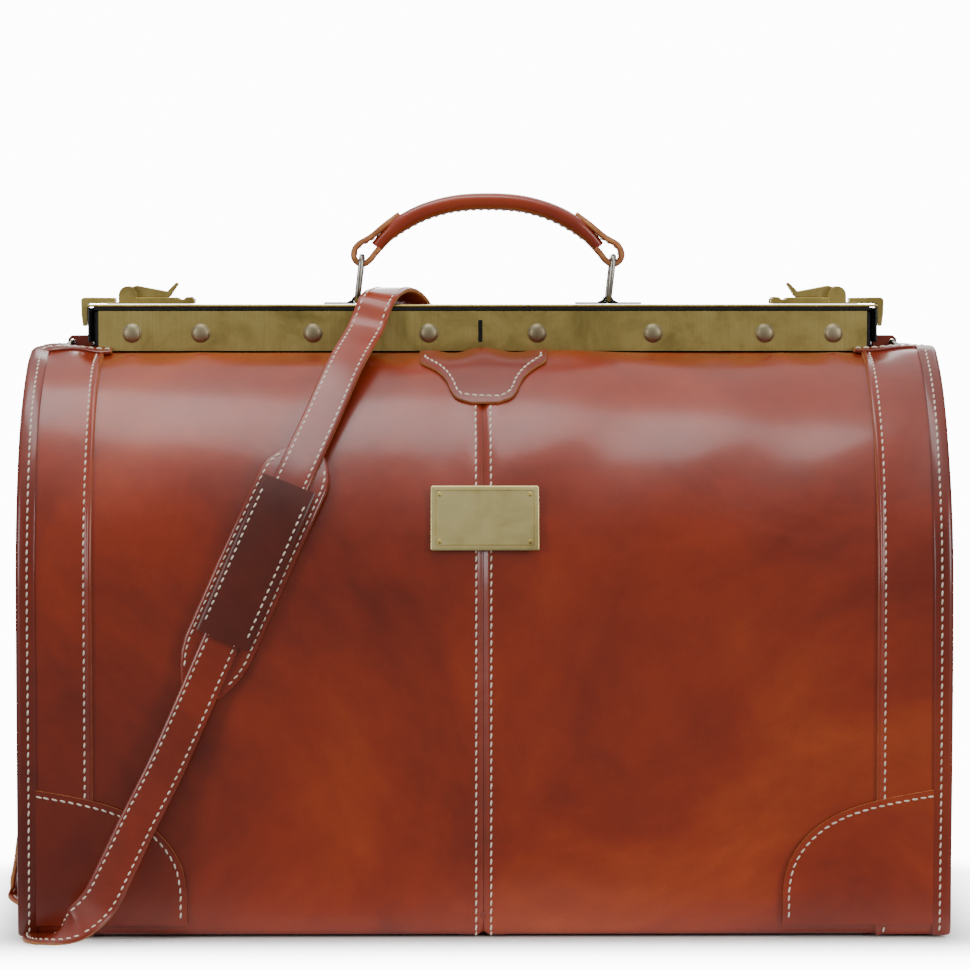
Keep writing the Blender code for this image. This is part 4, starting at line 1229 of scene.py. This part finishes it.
HANDLE_MID = 0.0028
GRIP_HALF = ((-0.0592, 0.3695), (-0.0524, 0.377), (-0.0434, 0.3837), (-0.031, 0.3897), (-0.015, 0.3938))
GRIP_CROWN = 0.3949


def squircle(angle, across, tall):
    """Offset on a rounded rectangle's edge in the direction of the angle."""
    c, q = cos(angle), sin(angle)
    return across * abs(c) ** 0.62 * (1 if c > 0 else -1), tall * abs(q) ** 0.72 * (1 if q > 0 else -1)


def handle():
    """Padded grip along its arch, with two seams underneath."""
    right = [(2 * HANDLE_MID - x, z) for x, z in GRIP_HALF[::-1]]
    arch = [*GRIP_HALF, (HANDLE_MID, GRIP_CROWN), *right]
    path = smooth([(x, 0, z) for x, z in arch], 6)
    across = Vector((0, 1, 0))
    loops, line = [], []
    for i, point in enumerate(path):
        up = direction(path, i).cross(across)
        up = up if up.z > 0 else -up
        share = i / (len(path) - 1)
        swell = smoothstep(min(share, 1 - share) / 0.22)
        half_t = 0.0036 + 0.0012 * swell
        edge = [squircle(2 * pi * k / 20, 0.0074 + 0.002 * swell, half_t) for k in range(20)]
        loops.append([point + across * u + up * v for u, v in edge])
        line.append((point - up * (half_t * 0.96), -up))
    body = lofted("grip_body", loops, ("hide",), sharp=50)
    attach(body, "grip")
    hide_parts("handle_grip")
    for side, face in FACES:
        shifted = [(point + across * (side * 0.0052), down) for point, down in line[6:-6]]
        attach(stitches(f"grip_seam_{face}", shifted, 0.0, *HANDLE_STITCH), "grip")


LOOP = (
    (-0.0462, 0.3879), (-0.054, 0.382), (-0.0622, 0.3752), (-0.0694, 0.3708), (-0.0719, 0.3658),
    (-0.0706, 0.3617), (-0.0668, 0.3599), (-0.063, 0.3622), (-0.0598, 0.3662), (-0.0572, 0.369),
)


LOOP_T, LOOP_HALF, LOOP_ROUND = 0.0016, 0.008, 0.0007


def handle_loops():
    """Flat hide loops that hold the rings, with a pointed tail over the grip."""
    t, r = LOOP_T, LOOP_ROUND
    for side, label in ((1, "left"), (-1, "right")):
        path = smooth([(x if side > 0 else 2 * HANDLE_MID - x, 0, z) for x, z in LOOP], 6)
        loops, line = [], []
        for i, point in enumerate(path):
            along = direction(path, i)
            out = Vector((along.z, 0, -along.x)) * -side
            half = LOOP_HALF * (0.35 + 0.65 * smoothstep(i / (len(path) - 1) / 0.13))
            section = (
                (-half, -t + r), (-half, t - r), (-half + r, t), (half - r, t), (half, t - r), (half, -t + r),
                (half - r, -t), (-half + r, -t),
            )
            loops.append([point + Vector((0, 1, 0)) * u + out * v for u, v in section])
            line.append((point, out, half))
        piece = lofted(f"handle_loop_{label}", loops, ("hide_tan", "edge"), [1, 0, 0, 0, 1, 0, 0, 0], 50)
        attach(piece, "grip")
        for edge, mark in ((-1, "a"), (1, "b")):
            sewn = [(p + Vector((0, edge * (h - 0.0019), 0)), out) for p, out, h in line[4:34]]
            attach(stitches(f"loop_seam_{label}_{mark}", sewn, t, *HANDLE_STITCH), "grip")


# ---------------- lining and small leather


LINING_MATS = ("cotton", "cotton", "cotton")


def lining():
    """Cotton lining just inside the walls and the ends, in a front and a rear half."""
    rows = steps(0.004, WALL_LENGTH - 0.004, 0.0075)
    end_rows = steps(0.008, WALL_LENGTH - 0.004, 0.0075)
    columns = steps(-(END_X - 0.0075), END_X - 0.0075, 0.015)
    shares = steps(0.0, 0.975, 0.075)
    for side, face in FACES:
        grid = [[on_wall(x, s, side) for x in columns] for s in rows]
        piece = slab(f"lining_{face}", grid, -0.003, -0.0022, LINING_MATS)
        with_jaw(piece)
        if side < 0:
            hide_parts("lining")
        for end, label in ENDS:
            out = Vector((end, 0, 0))
            grid = [[(end_point(end, side, share, s), out) for share in shares] for s in end_rows]
            piece = slab(f"lining_{face}_{label}", grid, -0.0032, -0.0023, LINING_MATS)
            with_jaw(piece)


def small_leather():
    """Base panel, stiff board, strap tabs and strap rings, with softened edges."""
    refined("base_panel", "hide_dark", "bag_body", 0.0004)
    refined("base_board", "cotton", "bag_body", 0.0006)
    for _, label in ENDS:
        refined(f"strap_tab_{label}", "hide_dark", "rear_jaw", 0.0004)
        refined(f"strap_ring_{label}", "nickel", "rear_jaw", 0.0002, 50)


stage()
make_materials()
wall_panels()
side_strips()
end_panels()
bindings()
corner_patches()
tongue()
centre_seams()
strap(strap_frames())
pad_and_sleeve(strap_frames())
jaw_hardware()
latches()
frame_shade_plate()
rivets()
name_plate()
rings()
handle()
handle_loops()
lining()
small_leather()
dress_cad()
